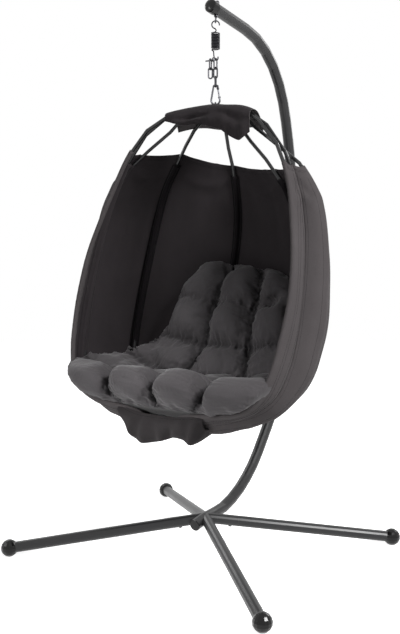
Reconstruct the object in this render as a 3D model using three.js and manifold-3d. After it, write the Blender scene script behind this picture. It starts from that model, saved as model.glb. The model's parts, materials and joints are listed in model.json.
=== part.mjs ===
import * as THREE from 'three';
import { mergeVertices } from 'three/addons/utils/BufferGeometryUtils.js';
import loadManifold from 'manifold-3d';

// Pod chair: a cloth basket on nine bent tubes, hung by a spring, chain and carabiner from a C-shaped stand.
// Millimetres, +Z up, the open front of the basket towards -Y, and +X to the right of someone who faces it.

const wasm = await loadManifold();
wasm.setup();

// Clearances and tolerances
const clearance = 0.3; // between pieces that touch, and round spigots
const boltRoom = 0.4; // between a bolt and its hole
const overrun = 6; // how far a cut runs past the face that it opens
const weld = 0.001; // vertices closer than this are one

// Pole: three tubes in a C, its path given as [back from the feet's centre / reach, height / poleHeight]
const poleRadius = 21;
const poleWall = 2;
const poleReach = 622;
const poleHeight = 1950;
const polePathShares = [
  [-0.092, 0.056], [0.013, 0.062], [0.185, 0.066], [0.35, 0.086], [0.513, 0.124], [0.662, 0.181], [0.783, 0.236],
  [0.876, 0.296], [0.949, 0.388], [0.994, 0.513], [1, 0.59], [0.989, 0.693], [0.94, 0.787], [0.846, 0.88],
  [0.707, 0.938], [0.53, 0.9715], [0.31, 0.9865], [0.058, 1],
];
const lowerJointShare = 0.33; // along the path, hidden behind the basket
const upperJointShare = 0.61;
const poleSides = 16;
const lowerSteps = 13;
const middleSteps = 6;
const upperSteps = 13;
const spigotLength = 60;
const shoulderLength = 8;
const screwRadius = 3.6;
const screwHeadRadius = 7.5;
const screwHeadHeight = 4.5;
const screwInset = 28; // below the joint, through the spigot
const headShoulderShare = 0.4; // of a domed head's height, up to where the dome starts
const headRimShare = 0.85;
const headCrownShare = 0.7; // of its radius, where the dome flattens

// Black caps on the pole's two ends
const plugFlange = 4;
const plugStem = 16;
const plugHole = 9;
const plugEdgeShare = 0.6; // of the flange's thickness, up to where its edge is rounded off
const plugFaceShare = 0.9; // of its radius, the flat of its face
const tipCapWall = 2.5;
const tipCapLength = 27;
const tipCapDome = 10;
const tipCapDomeSteps = 4;

// Legs and ball feet
const hubInset = 65; // from the pole's open front end back to where the legs meet
const legRadius = 19.5;
const legWall = 1.8;
const stubLength = 120;
const legBoltRadius = 3;
const legBoltInset = 26;
const legBoltHeadRadius = 6.5;
const legBoltHeadHeight = 4;
const legBoltReachShare = 0.8; // of the leg's radius, from the head in through both tubes' walls
const footHalfWidth = 532;
const footHalfDepth = 457;
const ballRadius = 31;
const ballFlat = 0.8; // cut off flat where a ball stands
const ballSteps = 8; // from the top of a ball to its flat
const socketDepth = 28; // how far a leg's end goes into its ball

// Eye bolt through the pole's tip; it and what hangs from it are turned to plan angles measured from +X
const eyeInset = 39; // from the tip back along the pole
const eyeRadius = 8.5;
const eyeWire = 3;
const eyeTurn = 126;
const eyeShank = 4;
const collarRadius = 8.5;
const collarHeight = 4;
const acornHeight = 13;
const acornHexShare = 0.42; // of that height, the hexagon
const acornDomeShare = 0.45; // and where its dome starts
const acornRimShare = 0.8;
const acornPocketShare = 0.6;
const acornFlatShare = 0.85; // of the hexagon's radius
const acornCrownShare = 0.75; // of the flat's

// Extension spring: open hook, coil, small lower eye, all one wire
const springWire = 2.3;
const coilRadius = 14.7;
const coilPitch = 5.1;
const coilTurns = 11;
const coilSteps = 8;
const hookRadius = 13.5;
const hookTurn = 36;
const hookTipAngle = -10; // in the hook's own circle, from its open tip over the top to the root
const hookRootAngle = 262;
const hookDrop = 28.5; // from the hook's centre down to the coil
const lowerEyeRadius = 6.8;
const lowerEyeDrop = 36.5; // from the coil down to the lower eye's centre
const lowerEyeShift = -8.6; // along the hanger pin
const lowerEyeAngles = [8, -262]; // the wire goes round the eye from the first to the second
const coilLag = 150; // from the hook's plan angle on to where the coil starts
// The wire on its way in and out of the coil: [share of the coil's radius, turn, height above or below the coil]
const coilLeadIn = [[0.25, -95, 10.5], [0.62, -60, 6.5], [0.92, -28, 2.6]];
const coilLeadOut = [[0.88, 34, -3.4], [0.6, 66, -9]];
const neckShift = -0.5; // of the lower eye's neck, off the eye's own plane
const neckRiseShare = 1.4; // of the eye's radius, above its centre
const pinTurn = 7;

// Hanger pin, chain and carabiner
const pinRadius = 2.5;
const pinTail = 40;
const pinReach = 10;
const pinTip = 11;
const pinBend = 5;
const linkLength = 43;
const linkWidth = 20;
const linkWire = 2.875;
const linkTurns = [78, 6, 112];
const spareShift = -20.4; // along the hanger pin
const spareTurns = [98, 20];
const carabinerTurn = 30;
const carabinerWire = 3.5;
const carabinerHeight = 76;
const carabinerTopRadius = 7.5; // of the wire's centreline
const carabinerBottomRadius = 15.5;
const gateLowShare = 0.22; // along the straight side, from the bottom
const gateHighShare = 0.86;
const gateWire = 2.9;
const noseRadius = 4.8;
const noseLength = 5;
const cheekRadius = 4.6;
const cheekThickness = 1.6;
const rivetRadius = 1.5;
const rivetHeadHeight = 1;
const rivetHeadShare = 2; // of the rivet's radius

// Pod eye and the plates that clamp the ribs, above at the crown and below at the keel
const podEyeRadius = 10;
const podEyeWire = 3.25;
const podShank = 5;
const podNutRadius = 9;
const podNutHeight = 8;
const plateRadius = 44;
const plateThickness = 3;
const ringRadii = [32, 39, 47]; // the ribs lie flat between the plates over these radii
const keelFrontShare = 0.765; // of the basket's depth, from the hang axis forward to the keel's centre
const keelDropShare = 1.022; // of its height, from the crown down
const keelTilt = 33;
const keelBoltRadius = 4;
const keelHeadRadius = 9;
const keelHeadHeight = 5;

// Ribs: [x / half width, back from the hang axis / depth, below the crown / height]
const ribRadius = 6.5;
const ribBore = 5.3;
const podHalfWidth = 510;
const podDepth = 400;
const podHeight = 1045;
const ribs = {
  front: {
    crownAngle: -38, keelAngle: -15, hemShare: 0.22,
    shares: [
      [0.216, -0.145, 0], [0.382, -0.215, 0.025], [0.49, -0.235, 0.063], [0.627, -0.255, 0.14],
      [0.735, -0.312, 0.255], [0.804, -0.403, 0.37], [0.855, -0.495, 0.484], [0.876, -0.585, 0.609],
      [0.863, -0.677, 0.724], [0.829, -0.755, 0.829], [0.767, -0.807, 0.906], [0.647, -0.825, 0.953],
      [0.392, -0.83, 0.98], [0.21, -0.825, 0.993],
    ],
  },
  second: {
    crownAngle: -11, keelAngle: 11, hemShare: 0.235,
    shares: [
      [0.22, -0.11, 0.002], [0.392, -0.175, 0.025], [0.5, -0.185, 0.063], [0.635, -0.2, 0.14],
      [0.755, -0.23, 0.255], [0.827, -0.285, 0.37], [0.863, -0.352, 0.484], [0.882, -0.435, 0.609],
      [0.886, -0.515, 0.724], [0.863, -0.595, 0.829], [0.804, -0.665, 0.906], [0.667, -0.728, 0.963],
      [0.392, -0.77, 1],
    ],
  },
  side: {
    crownAngle: 16, keelAngle: 37, hemShare: 0.25,
    shares: [
      [0.235, -0.052, 0.006], [0.375, -0.09, 0.071], [0.492, -0.11, 0.11], [0.588, -0.13, 0.133],
      [0.671, -0.14, 0.164], [0.765, -0.147, 0.208], [0.902, -0.165, 0.316], [0.969, -0.215, 0.484],
      [0.99, -0.278, 0.609], [0.994, -0.328, 0.695], [0.975, -0.385, 0.779], [0.945, -0.445, 0.855],
      [0.882, -0.502, 0.912], [0.784, -0.565, 0.966], [0.588, -0.627, 1.01], [0.333, -0.7, 1.036],
    ],
  },
  rear: {
    crownAngle: 45, keelAngle: 63.5, hemShare: 0.17,
    shares: [
      [0.147, 0.03, 0.028], [0.241, 0.02, 0.083], [0.304, 0.04, 0.121], [0.369, 0.068, 0.159],
      [0.506, 0.1, 0.255], [0.588, 0.115, 0.351], [0.635, 0.115, 0.427], [0.69, 0.095, 0.547],
      [0.741, 0.048, 0.705], [0.735, -0.028, 0.815], [0.667, -0.14, 0.899], [0.51, -0.315, 0.978],
      [0.294, -0.495, 1.039], [0.157, -0.6, 1.055],
    ],
  },
  centre: {
    crownAngle: 90, keelAngle: 90, hemShare: 0.158,
    shares: [
      [0, 0.155, 0.025], [0, 0.172, 0.066], [0, 0.2, 0.105], [0, 0.278, 0.174], [0, 0.35, 0.294],
      [0, 0.362, 0.362], [0, 0.335, 0.454], [0, 0.295, 0.521], [0, 0.2, 0.66], [0, 0.072, 0.784],
      [0, -0.09, 0.889], [0, -0.315, 0.989], [0, -0.515, 1.044], [0, -0.61, 1.056],
    ],
  },
};
const ribSides = 8;
const boreSides = 5;
const crownShares = [0, 0.062, 0.12, 0.24, 0.42, 0.68]; // of the way from the crown to the hem
// Where the sling's rows lie along each rib, from the hem to the keel
const rowShares = [0, 0.07, 0.14, 0.22, 0.3, 0.38, 0.46, 0.54, 0.61, 0.67, 0.73, 0.785, 0.835, 0.88, 0.92, 0.95, 0.975, 0.99, 1];
const slingRows = 15;

// Cloth
const clothThickness = 2;
const settleReach = 40; // how far a soft piece is moved off what carries it before it is slid back
const settleStep = 2;
const settleHalvings = 8;
const slingBellyShare = 0.045; // of the distance between two ribs
const hemSag = 16;
const sleeveAngle = 60;
const bottomCoverHalfWidth = 135;
const bottomCoverFront = 76; // before and behind the keel's centre, in its plates' plane
const bottomCoverBack = 92;
const bottomCoverGap = 14; // from that plane to the cover's edge
const bottomCoverBelly = 24;
const bottomCoverTaper = 0.18; // its sides are this much shorter than its middle
const bottomCoverRows = 9;
const bottomCoverColumns = 11;
const coverHalfWidth = 165;
const coverDepth = 100;
const coverOpening = 18; // round the pod eye
const coverRows = 13;
const coverColumns = 13;
const coverPlaceShares = [0, 0.33, 0.75, 1]; // of the half width, where the profiles below stand
// Each row is [back / depth, up / depth], from the front hem over the crest to the back hem
const coverShares = [
  [[-0.56, -0.6], [-0.6, -0.3], [-0.57, 0.02], [-0.47, 0.125], [-0.25, 0.14], [0.25, 0.14], [0.55, 0.12], [0.74, -0.02], [0.8, -0.35], [0.86, -0.75]],
  [[-0.62, -0.58], [-0.67, -0.28], [-0.63, 0.04], [-0.52, 0.14], [-0.3, 0.14], [0.08, 0.13], [0.38, 0.1], [0.58, -0.02], [0.68, -0.34], [0.76, -0.72]],
  [[-0.78, -0.52], [-0.83, -0.24], [-0.79, 0.05], [-0.68, 0.15], [-0.5, 0.16], [-0.26, 0.13], [-0.06, 0.08], [0.1, -0.08], [0.22, -0.36], [0.3, -0.66]],
  [[-0.94, -0.6], [-0.97, -0.36], [-0.92, -0.1], [-0.82, -0.02], [-0.7, 0.0], [-0.5, -0.03], [-0.34, -0.1], [-0.2, -0.24], [-0.1, -0.5], [-0.02, -0.76]],
];

// Cushion, seat and back in one: each row is [back / depth, above the keel / height] at the middle of its upper
// face, the same of its lower face, then [x / half width, back / depth, above the keel / height] of its seam
const cushionWidthShare = 0.833; // of the basket's half width
const cushionDepthShare = 1;
const cushionHeightShare = 0.517;
const cushionShares = [
  { top: [-0.905, 0.172], under: [-0.88, 0.135], seam: [0.7, -0.872, 0.17] },
  { top: [-0.97, 0.254], under: [-0.82, 0.106], seam: [0.812, -0.89, 0.226] },
  { top: [-0.945, 0.359], under: [-0.752, 0.063], seam: [0.906, -0.878, 0.3] },
  { top: [-0.835, 0.415], under: [-0.678, 0.022], seam: [0.965, -0.82, 0.378] },
  { top: [-0.702, 0.378], under: [-0.59, 0.008], seam: [0.988, -0.728, 0.426] },
  { top: [-0.628, 0.33], under: [-0.515, 0.013], seam: [1, -0.64, 0.448] },
  { top: [-0.49, 0.38], under: [-0.415, 0.056], seam: [0.988, -0.515, 0.463] },
  { top: [-0.315, 0.378], under: [-0.302, 0.115], seam: [0.941, -0.378, 0.457] },
  { top: [-0.165, 0.358], under: [-0.202, 0.198], seam: [0.859, -0.252, 0.457] },
  { top: [-0.095, 0.37], under: [-0.102, 0.291], seam: [0.748, -0.152, 0.476] },
  { top: [-0.125, 0.476], under: [-0.035, 0.374], seam: [0.664, -0.09, 0.522] },
  { top: [-0.085, 0.615], under: [0.048, 0.494], seam: [0.6, -0.01, 0.615] },
  { top: [0.012, 0.707], under: [0.122, 0.615], seam: [0.584, 0.055, 0.717] },
  { top: [0.005, 0.82], under: [0.18, 0.735], seam: [0.584, 0.098, 0.82] },
  { top: [0.08, 0.93], under: [0.23, 0.865], seam: [0.569, 0.16, 0.926] },
  { top: [0.19, 0.985], under: [0.235, 0.972], seam: [0.494, 0.21, 0.976] },
];
const cushionRows = 28;
const cushionColumns = 14;
const seatChannelShares = [0, 0.5]; // across the half width, seat and front roll
const backChannelShares = [1 / 3];
const backStartShare = 0.62; // along the cushion, where the back's channels take over
const channelPinchShare = 0.3;
const channelWidthShare = 0.07;

function material(color, roughness, metalness) {
  return new THREE.MeshStandardMaterial({ color, roughness, metalness });
}

const finishes = {
  frame: () => material(0x4c4c4e, 0.45, 0.4),
  plastic: () => material(0x141414, 0.35, 0),
  hardware: () => material(0x3c3c3e, 0.4, 0.8),
  cloth: () => material(0x35323a, 0.9, 0),
  cushion: () => material(0x57565a, 0.9, 0),
};

// Geometry helpers

// The bare mesh, with vertices in one place made one and its faces turned outward
function welded(geometry) {
  const bare = geometry.clone();
  bare.deleteAttribute('normal');
  bare.deleteAttribute('uv');
  const merged = mergeVertices(bare, weld);
  const { position } = merged.attributes;
  const points = Array.from({ length: position.count }, (_, i) => new THREE.Vector3().fromBufferAttribute(position, i));
  const index = [];
  for (let i = 0; i < merged.index.count; i += 3) {
    const face = [0, 1, 2].map((k) => merged.index.getX(i + k));
    if (new Set(face).size === 3) index.push(...face);
  }
  return closed(points, index);
}

function toSolid(geometry) {
  const merged = welded(geometry);
  const vertProperties = new Float32Array(merged.attributes.position.array);
  const triVerts = new Uint32Array(merged.index.array);
  return new wasm.Manifold(new wasm.Mesh({ numProp: 3, vertProperties, triVerts }));
}

function toGeometry(solid) {
  const mesh = solid.getMesh();
  const geometry = new THREE.BufferGeometry();
  geometry.setAttribute('position', new THREE.BufferAttribute(mesh.vertProperties, 3));
  geometry.setIndex(new THREE.BufferAttribute(mesh.triVerts, 1));
  return geometry;
}

function joined(...geometries) {
  return toGeometry(geometries.map(toSolid).reduce((whole, solid) => whole.add(solid)));
}

function cut(geometry, ...tools) {
  return toGeometry(tools.map(toSolid).reduce((whole, tool) => whole.subtract(tool), toSolid(geometry)));
}

function polygon(radius, sides) {
  return Array.from({ length: sides }, (_, i) => {
    const angle = (2 * Math.PI * i) / sides;
    return new THREE.Vector2(radius * Math.cos(angle), radius * Math.sin(angle));
  });
}

// A stretch of another curve, by distance along it; past either end it runs on straight
class Stretch extends THREE.Curve {
  constructor(base, start, end) {
    super();
    this.base = base;
    this.start = start;
    this.end = end;
    this.whole = base.getLength();
  }

  getPoint(t, target = new THREE.Vector3()) {
    const along = THREE.MathUtils.lerp(this.start, this.end, t);
    const inside = THREE.MathUtils.clamp(along, 0, this.whole);
    const share = inside / this.whole;
    return target.copy(this.base.getPointAt(share)).addScaledVector(this.base.getTangentAt(share), along - inside);
  }

  getUtoTmapping(u) {
    return u;
  }
}

// A curve stepped at chosen shares of its length, closer together where it bends
class Stepped extends THREE.Curve {
  constructor(base, stops) {
    super();
    this.base = base;
    this.stops = stops;
  }

  getPoint(t, target = new THREE.Vector3()) {
    const place = t * (this.stops.length - 1);
    const i = Math.min(Math.floor(place), this.stops.length - 2);
    return this.base.getPointAt(THREE.MathUtils.lerp(this.stops[i], this.stops[i + 1], place - i), target);
  }

  getTangent(t, target = new THREE.Vector3()) {
    const last = this.stops.length - 1;
    const i = Math.round(t * last);
    return this.base.getTangentAt(this.stops[i], target);
  }

  getUtoTmapping(u) {
    return u;
  }
}

function tube(path, radius, bore, sides, steps, innerSides = sides) {
  const section = new THREE.Shape(polygon(radius, sides));
  if (bore > 0) section.holes.push(new THREE.Path(polygon(bore, innerSides)));
  return welded(new THREE.ExtrudeGeometry(section, { extrudePath: path, steps, bevelEnabled: false }));
}

// A hollow body round a path. Its profile is a closed list of [distance along the path, radius] pairs.
function hollowAlong(frameAt, profile, sides) {
  const points = profile.flatMap(([distance, radius]) => {
    const frame = frameAt(distance);
    return polygon(radius, sides).map(({ x, y }) => new THREE.Vector3(x, y, 0).applyMatrix4(frame));
  });
  const index = [];
  for (let i = 0; i < profile.length; i += 1) {
    for (let j = 0; j < sides; j += 1) {
      const next = (i + 1) % profile.length;
      const [a, b] = [j, (j + 1) % sides].map((k) => i * sides + k);
      const [c, d] = [j, (j + 1) % sides].map((k) => next * sides + k);
      index.push(a, b, c, b, d, c);
    }
  }
  return welded(closed(points, index));
}

// A solid rod round a path, in straight steps between the stations
function solidAlong(frameAt, stations, radius, sides) {
  const profile = stations.map((distance) => [distance, radius]);
  return hollowAlong(frameAt, [[stations[0], 0], ...profile, [stations[stations.length - 1], 0]], sides);
}

function evenly(start, end, steps) {
  return Array.from({ length: steps + 1 }, (_, i) => THREE.MathUtils.lerp(start, end, i / steps));
}

// Stations whose last two steps match those of a spigot that comes in at the end
function toSpigot(start, end, steps) {
  return [...evenly(start, end - spigotLength, steps), end - spigotLength / 2, end];
}

// The profile of a tube whose shoulder, inside, carries a spigot that reaches out below its start
function tubeProfile(stations, radius, wall) {
  const start = stations[0];
  const bore = radius - wall;
  const outside = stations.map((place) => [place, radius]);
  const spigot = bore - clearance;
  const inside = stations.slice(1).reverse().map((place) => [place, bore]);
  const foot = start - spigotLength;
  return [
    ...outside, ...inside, [start + shoulderLength, bore], [start + shoulderLength, spigot - wall], [start, spigot - wall],
    [(start + foot) / 2, spigot - wall], [foot, spigot - wall], [foot, spigot], [(start + foot) / 2, spigot], [start, spigot],
  ];
}

function rod(from, to, radius, sides) {
  return tube(new THREE.LineCurve3(from, to), radius, 0, sides, 1);
}

// One tube through a list of points; a closed one must lie in a plane
function tubeThrough(points, radius, sides, loop = false) {
  const count = points.length;
  const tangents = points.map((_, i) => {
    const before = loop ? points[(i + count - 1) % count] : points[Math.max(i - 1, 0)];
    const after = loop ? points[(i + 1) % count] : points[Math.min(i + 1, count - 1)];
    return after.clone().sub(before).normalize();
  });
  const seed = new THREE.Vector3().crossVectors(points[1].clone().sub(points[0]), points[2].clone().sub(points[1]));
  const normal = seed.lengthSq() > weld * weld ? seed.normalize() : new THREE.Vector3(1, 0, 0);
  const positions = [];
  points.forEach((point, i) => {
    normal.addScaledVector(tangents[i], -normal.dot(tangents[i])).normalize();
    const side = new THREE.Vector3().crossVectors(tangents[i], normal);
    polygon(radius, sides).forEach(({ x, y }) => {
      positions.push(point.clone().addScaledVector(normal, x).addScaledVector(side, y));
    });
  });
  const index = [];
  for (let i = 0; i < (loop ? count : count - 1); i += 1) {
    for (let j = 0; j < sides; j += 1) {
      const a = i * sides + j;
      const b = i * sides + ((j + 1) % sides);
      const c = ((i + 1) % count) * sides + j;
      const d = ((i + 1) % count) * sides + ((j + 1) % sides);
      index.push(a, b, c, b, d, c);
    }
  }
  if (!loop) {
    const last = (count - 1) * sides;
    for (let j = 1; j < sides - 1; j += 1) {
      index.push(0, j + 1, j, last, last + j, last + j + 1);
    }
  }
  return closed(positions, index);
}

// A lathe whose profile is [radius, height] pairs, turned from the Y axis to stand along Z
function turned(profile, sides) {
  const geometry = new THREE.LatheGeometry(profile.map(([r, z]) => new THREE.Vector2(r, z)), sides);
  return geometry.rotateX(Math.PI / 2);
}

// A dome-headed fastener: the head above z = 0 and the shank below
function domed(headRadius, headHeight, shankRadius, shankLength, sides) {
  return turned([
    [0, -shankLength], [shankRadius, -shankLength], [shankRadius, 0], [headRadius, 0],
    [headRadius, headHeight * headShoulderShare], [headRadius * headCrownShare, headHeight * headRimShare], [0, headHeight],
  ], sides);
}

function hexNut(radius, height, bore) {
  const shape = new THREE.Shape(polygon(radius, 6));
  if (bore > 0) shape.holes.push(new THREE.Path(polygon(bore, 8)));
  return new THREE.ExtrudeGeometry(shape, { depth: height, bevelEnabled: false });
}

function planDirection(degrees) {
  const angle = THREE.MathUtils.degToRad(degrees);
  return new THREE.Vector3(Math.cos(angle), Math.sin(angle), 0);
}

// A closed mesh whose faces are turned outward
function closed(points, index) {
  const volume = index.reduce((sum, _, i) => {
    if (i % 3 > 0) return sum;
    const [a, b, c] = [0, 1, 2].map((k) => points[index[i + k]]);
    return sum + a.dot(b.clone().cross(c));
  }, 0);
  const faces = volume > 0 ? index : index.map((_, i) => index[i - (i % 3) + 2 - (i % 3)]);
  return new THREE.BufferGeometry().setFromPoints(points).setIndex(faces);
}

// A closed shell between two grids of points that match one for one
function between(inner, outer) {
  const rows = inner.length;
  const columns = inner[0].length;
  const at = (i, j, side) => side * rows * columns + i * columns + j;
  const index = [];
  const quad = (a, b, c, d) => index.push(a, b, c, a, c, d);
  for (let i = 0; i < rows - 1; i += 1) {
    for (let j = 0; j < columns - 1; j += 1) {
      quad(at(i, j, 0), at(i + 1, j, 0), at(i + 1, j + 1, 0), at(i, j + 1, 0));
      quad(at(i, j, 1), at(i, j + 1, 1), at(i + 1, j + 1, 1), at(i + 1, j, 1));
    }
    quad(at(i, 0, 0), at(i, 0, 1), at(i + 1, 0, 1), at(i + 1, 0, 0));
    quad(at(i, columns - 1, 0), at(i + 1, columns - 1, 0), at(i + 1, columns - 1, 1), at(i, columns - 1, 1));
  }
  for (let j = 0; j < columns - 1; j += 1) {
    quad(at(0, j, 0), at(0, j + 1, 0), at(0, j + 1, 1), at(0, j, 1));
    quad(at(rows - 1, j, 0), at(rows - 1, j, 1), at(rows - 1, j + 1, 1), at(rows - 1, j + 1, 0));
  }
  return closed([...inner.flat(), ...outer.flat()], index);
}

function blend(a, b, t) {
  return a.map((value, i) => THREE.MathUtils.lerp(value, b[i], t));
}

// The value of a table at a place between its rows, smoothed through the four rows round it
function smoothRow(table, place) {
  const i = Math.min(Math.floor(place), table.length - 2);
  const t = place - i;
  const row = (k) => table[THREE.MathUtils.clamp(k, 0, table.length - 1)];
  return row(i).map((_, n) => {
    const [a, b, c, d] = [row(i - 1)[n], row(i)[n], row(i + 1)[n], row(i + 2)[n]];
    return b + (t * (c - a + t * (2 * a - 5 * b + 4 * c - d + t * (3 * (b - c) + d - a)))) / 2;
  });
}

const model = new THREE.Group();

function addPiece(name, geometry, finish, parent = model) {
  const mesh = new THREE.Mesh(geometry, finishes[finish]());
  mesh.name = name;
  parent.add(mesh);
  return mesh;
}

// Stand

const polePath = new THREE.CatmullRomCurve3(
  polePathShares.map(([back, up]) => new THREE.Vector3(0, back * poleReach, up * poleHeight)),
  false,
  'centripetal',
);
const poleLength = polePath.getLength();
const lowerJoint = lowerJointShare * poleLength;
const upperJoint = upperJointShare * poleLength;

// Axes at a distance along the pole: X across, Y out of the C, Z along the tube
function poleFrame(distance) {
  const inside = THREE.MathUtils.clamp(distance, 0, poleLength);
  const along = polePath.getTangentAt(inside / poleLength);
  const across = new THREE.Vector3(1, 0, 0);
  const outward = new THREE.Vector3().crossVectors(along, across);
  const place = polePath.getPointAt(inside / poleLength).addScaledVector(along, distance - inside);
  return new THREE.Matrix4().makeBasis(across, outward, along).setPosition(place);
}

const hub = polePath.getPointAt(hubInset / poleLength);
const corners = [
  { name: 'front_left', side: -1, end: -1 },
  { name: 'front_right', side: 1, end: -1 },
  { name: 'rear_left', side: -1, end: 1 },
  { name: 'rear_right', side: 1, end: 1 },
];

function legPath({ side, end }) {
  const foot = new THREE.Vector3(side * footHalfWidth, end * footHalfDepth, ballRadius - ballFlat);
  return new THREE.LineCurve3(hub, foot);
}

// Axes at a distance along a leg: Z along it and Y up across it
function legFrame(corner, distance) {
  const path = legPath(corner);
  const along = path.getTangent(0);
  const across = new THREE.Vector3(0, 0, 1).cross(along).normalize();
  const upward = new THREE.Vector3().crossVectors(along, across);
  const place = hub.clone().addScaledVector(along, distance);
  return new THREE.Matrix4().makeBasis(across, upward, along).setPosition(place);
}

// Axes of a leg's bolt, which enters the stub from below: Z out of its head
function legBoltFrame(corner) {
  const outOfHead = new THREE.Matrix4().makeRotationX(Math.PI / 2);
  return legFrame(corner, stubLength - legBoltInset).multiply(outOfHead);
}

function legBoltHole(corner) {
  const radius = legBoltRadius + boltRoom;
  const length = legRadius + overrun;
  return rod(new THREE.Vector3(), new THREE.Vector3(0, 0, length), radius, 8).applyMatrix4(legBoltFrame(corner));
}

function screwHole(distance) {
  const length = poleRadius + overrun;
  const hole = rod(new THREE.Vector3(0, -length, 0), new THREE.Vector3(0, length, 0), screwRadius + boltRoom, 8);
  return hole.applyMatrix4(poleFrame(distance));
}

function poleTube(stations) {
  return hollowAlong(poleFrame, tubeProfile(stations, poleRadius, poleWall), poleSides);
}

function poleLower() {
  const stations = toSpigot(0, lowerJoint - clearance, lowerSteps);
  const outside = solidAlong(poleFrame, stations, poleRadius, poleSides);
  const stubs = corners.map((corner) => solidAlong((d) => legFrame(corner, d), [0, stubLength], legRadius, poleSides));
  const bores = corners.map((corner) => {
    return solidAlong((d) => legFrame(corner, d), [poleRadius, stubLength + overrun], legRadius - legWall, poleSides);
  });
  const through = [-overrun, ...stations.slice(1, -1), lowerJoint + overrun];
  const inside = solidAlong(poleFrame, through, poleRadius - poleWall, poleSides);
  return cut(joined(outside, ...stubs), inside, ...bores, ...corners.map(legBoltHole), screwHole(lowerJoint - screwInset));
}

function poleMiddle() {
  const body = poleTube(toSpigot(lowerJoint, upperJoint - clearance, middleSteps));
  return cut(body, screwHole(lowerJoint - screwInset), screwHole(upperJoint - screwInset));
}

function poleUpper() {
  return cut(poleTube(evenly(upperJoint, poleLength, upperSteps)), screwHole(upperJoint - screwInset), eyeHole());
}

function poleScrew(distance) {
  const screw = domed(screwHeadRadius, screwHeadHeight, screwRadius, 2 * poleRadius, 12);
  const seat = new THREE.Matrix4().makeRotationX(-Math.PI / 2).setPosition(0, poleRadius + clearance, 0);
  return screw.applyMatrix4(seat).applyMatrix4(poleFrame(distance));
}

// The plug and the cap stand along the pole's axis; z = 0 is the tube's end and the outside is +Z
function polePlug() {
  const stemRadius = poleRadius - poleWall - clearance;
  const profile = [
    [0, 0], [plugHole, 0], [plugHole, -plugStem], [stemRadius, -plugStem], [stemRadius, 0], [poleRadius, 0],
    [poleRadius, plugFlange * plugEdgeShare], [poleRadius * plugFaceShare, plugFlange], [0, plugFlange],
  ];
  const facing = new THREE.Matrix4().makeRotationX(Math.PI).setPosition(0, 0, -clearance);
  return turned(profile, poleSides).applyMatrix4(facing).applyMatrix4(poleFrame(0));
}

function tipCap() {
  const bore = poleRadius + clearance;
  const outer = bore + tipCapWall;
  const profile = [[0, clearance], [bore, clearance], [bore, -tipCapLength], [outer, -tipCapLength], [outer, 0]];
  for (let i = 1; i < tipCapDomeSteps; i += 1) {
    const angle = (Math.PI / 2) * (i / tipCapDomeSteps);
    profile.push([outer * Math.cos(angle), tipCapDome * Math.sin(angle)]);
  }
  profile.push([0, tipCapDome]);
  return turned(profile, poleSides).applyMatrix4(poleFrame(poleLength));
}

function leg(corner) {
  const end = legPath(corner).getLength() - ballRadius + socketDepth;
  const profile = tubeProfile([stubLength + clearance, end], legRadius, legWall);
  return cut(hollowAlong((distance) => legFrame(corner, distance), profile, poleSides), legBoltHole(corner));
}

function legBolt(corner) {
  const bolt = domed(legBoltHeadRadius, legBoltHeadHeight, legBoltRadius, legRadius * legBoltReachShare, 10);
  return bolt.translate(0, 0, legRadius + clearance).applyMatrix4(legBoltFrame(corner));
}

function footBall(corner) {
  const path = legPath(corner);
  const foot = path.getPointAt(1);
  const flatAngle = Math.PI - Math.acos(1 - ballFlat / ballRadius);
  const profile = [];
  for (let i = 0; i <= ballSteps; i += 1) {
    const angle = flatAngle * (1 - i / ballSteps);
    profile.push([ballRadius * Math.sin(angle), ballRadius * Math.cos(angle)]);
  }
  profile[ballSteps][0] = 0;
  profile.unshift([0, profile[0][1]]);
  const ball = turned(profile, 16).translate(foot.x, foot.y, foot.z);
  const mouth = path.getLength() - ballRadius + socketDepth + clearance;
  const socketPath = new Stretch(path, mouth, path.getLength() - ballRadius - overrun);
  return cut(ball, tube(socketPath, legRadius + clearance, 0, poleSides, 1));
}

function addStand() {
  addPiece('pole_lower', poleLower(), 'frame');
  addPiece('pole_middle', poleMiddle(), 'frame');
  addPiece('pole_upper', poleUpper(), 'frame');
  addPiece('pole_screw_lower', poleScrew(lowerJoint - screwInset), 'hardware');
  addPiece('pole_screw_upper', poleScrew(upperJoint - screwInset), 'hardware');
  addPiece('pole_plug', polePlug(), 'plastic');
  addPiece('tip_cap', tipCap(), 'plastic');
  corners.forEach((corner) => {
    addPiece(`leg_${corner.name}`, leg(corner), 'frame');
    addPiece(`leg_bolt_${corner.name}`, legBolt(corner), 'hardware');
    addPiece(`foot_ball_${corner.name}`, footBall(corner), 'plastic');
  });
}

// Eye bolt, its collar below the tube and its acorn nut above

const tipFrame = poleFrame(poleLength - eyeInset);
const tipAcross = new THREE.Vector3();
const tipOutward = new THREE.Vector3();
const tipAlong = new THREE.Vector3();
tipFrame.extractBasis(tipAcross, tipOutward, tipAlong);
const tipCentre = new THREE.Vector3().setFromMatrixPosition(tipFrame);
const collarTop = -(poleRadius + clearance);
const eyeTop = collarTop - collarHeight - clearance;
const eyeCentre = tipCentre.clone().addScaledVector(tipOutward, eyeTop - eyeRadius - eyeWire);

// Axes of the bolt: X and Z in the plane of its eye, Z up the shank
function eyeFrame() {
  const width = planDirection(eyeTurn);
  width.addScaledVector(tipOutward, -width.dot(tipOutward)).normalize();
  const through = new THREE.Vector3().crossVectors(tipOutward, width);
  return new THREE.Matrix4().makeBasis(width, through, tipOutward).setPosition(tipCentre);
}

function eyeHole() {
  const hole = new THREE.CylinderGeometry(eyeShank + boltRoom, eyeShank + boltRoom, 2 * (poleRadius + overrun), 12);
  return hole.applyMatrix4(tipFrame);
}

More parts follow.
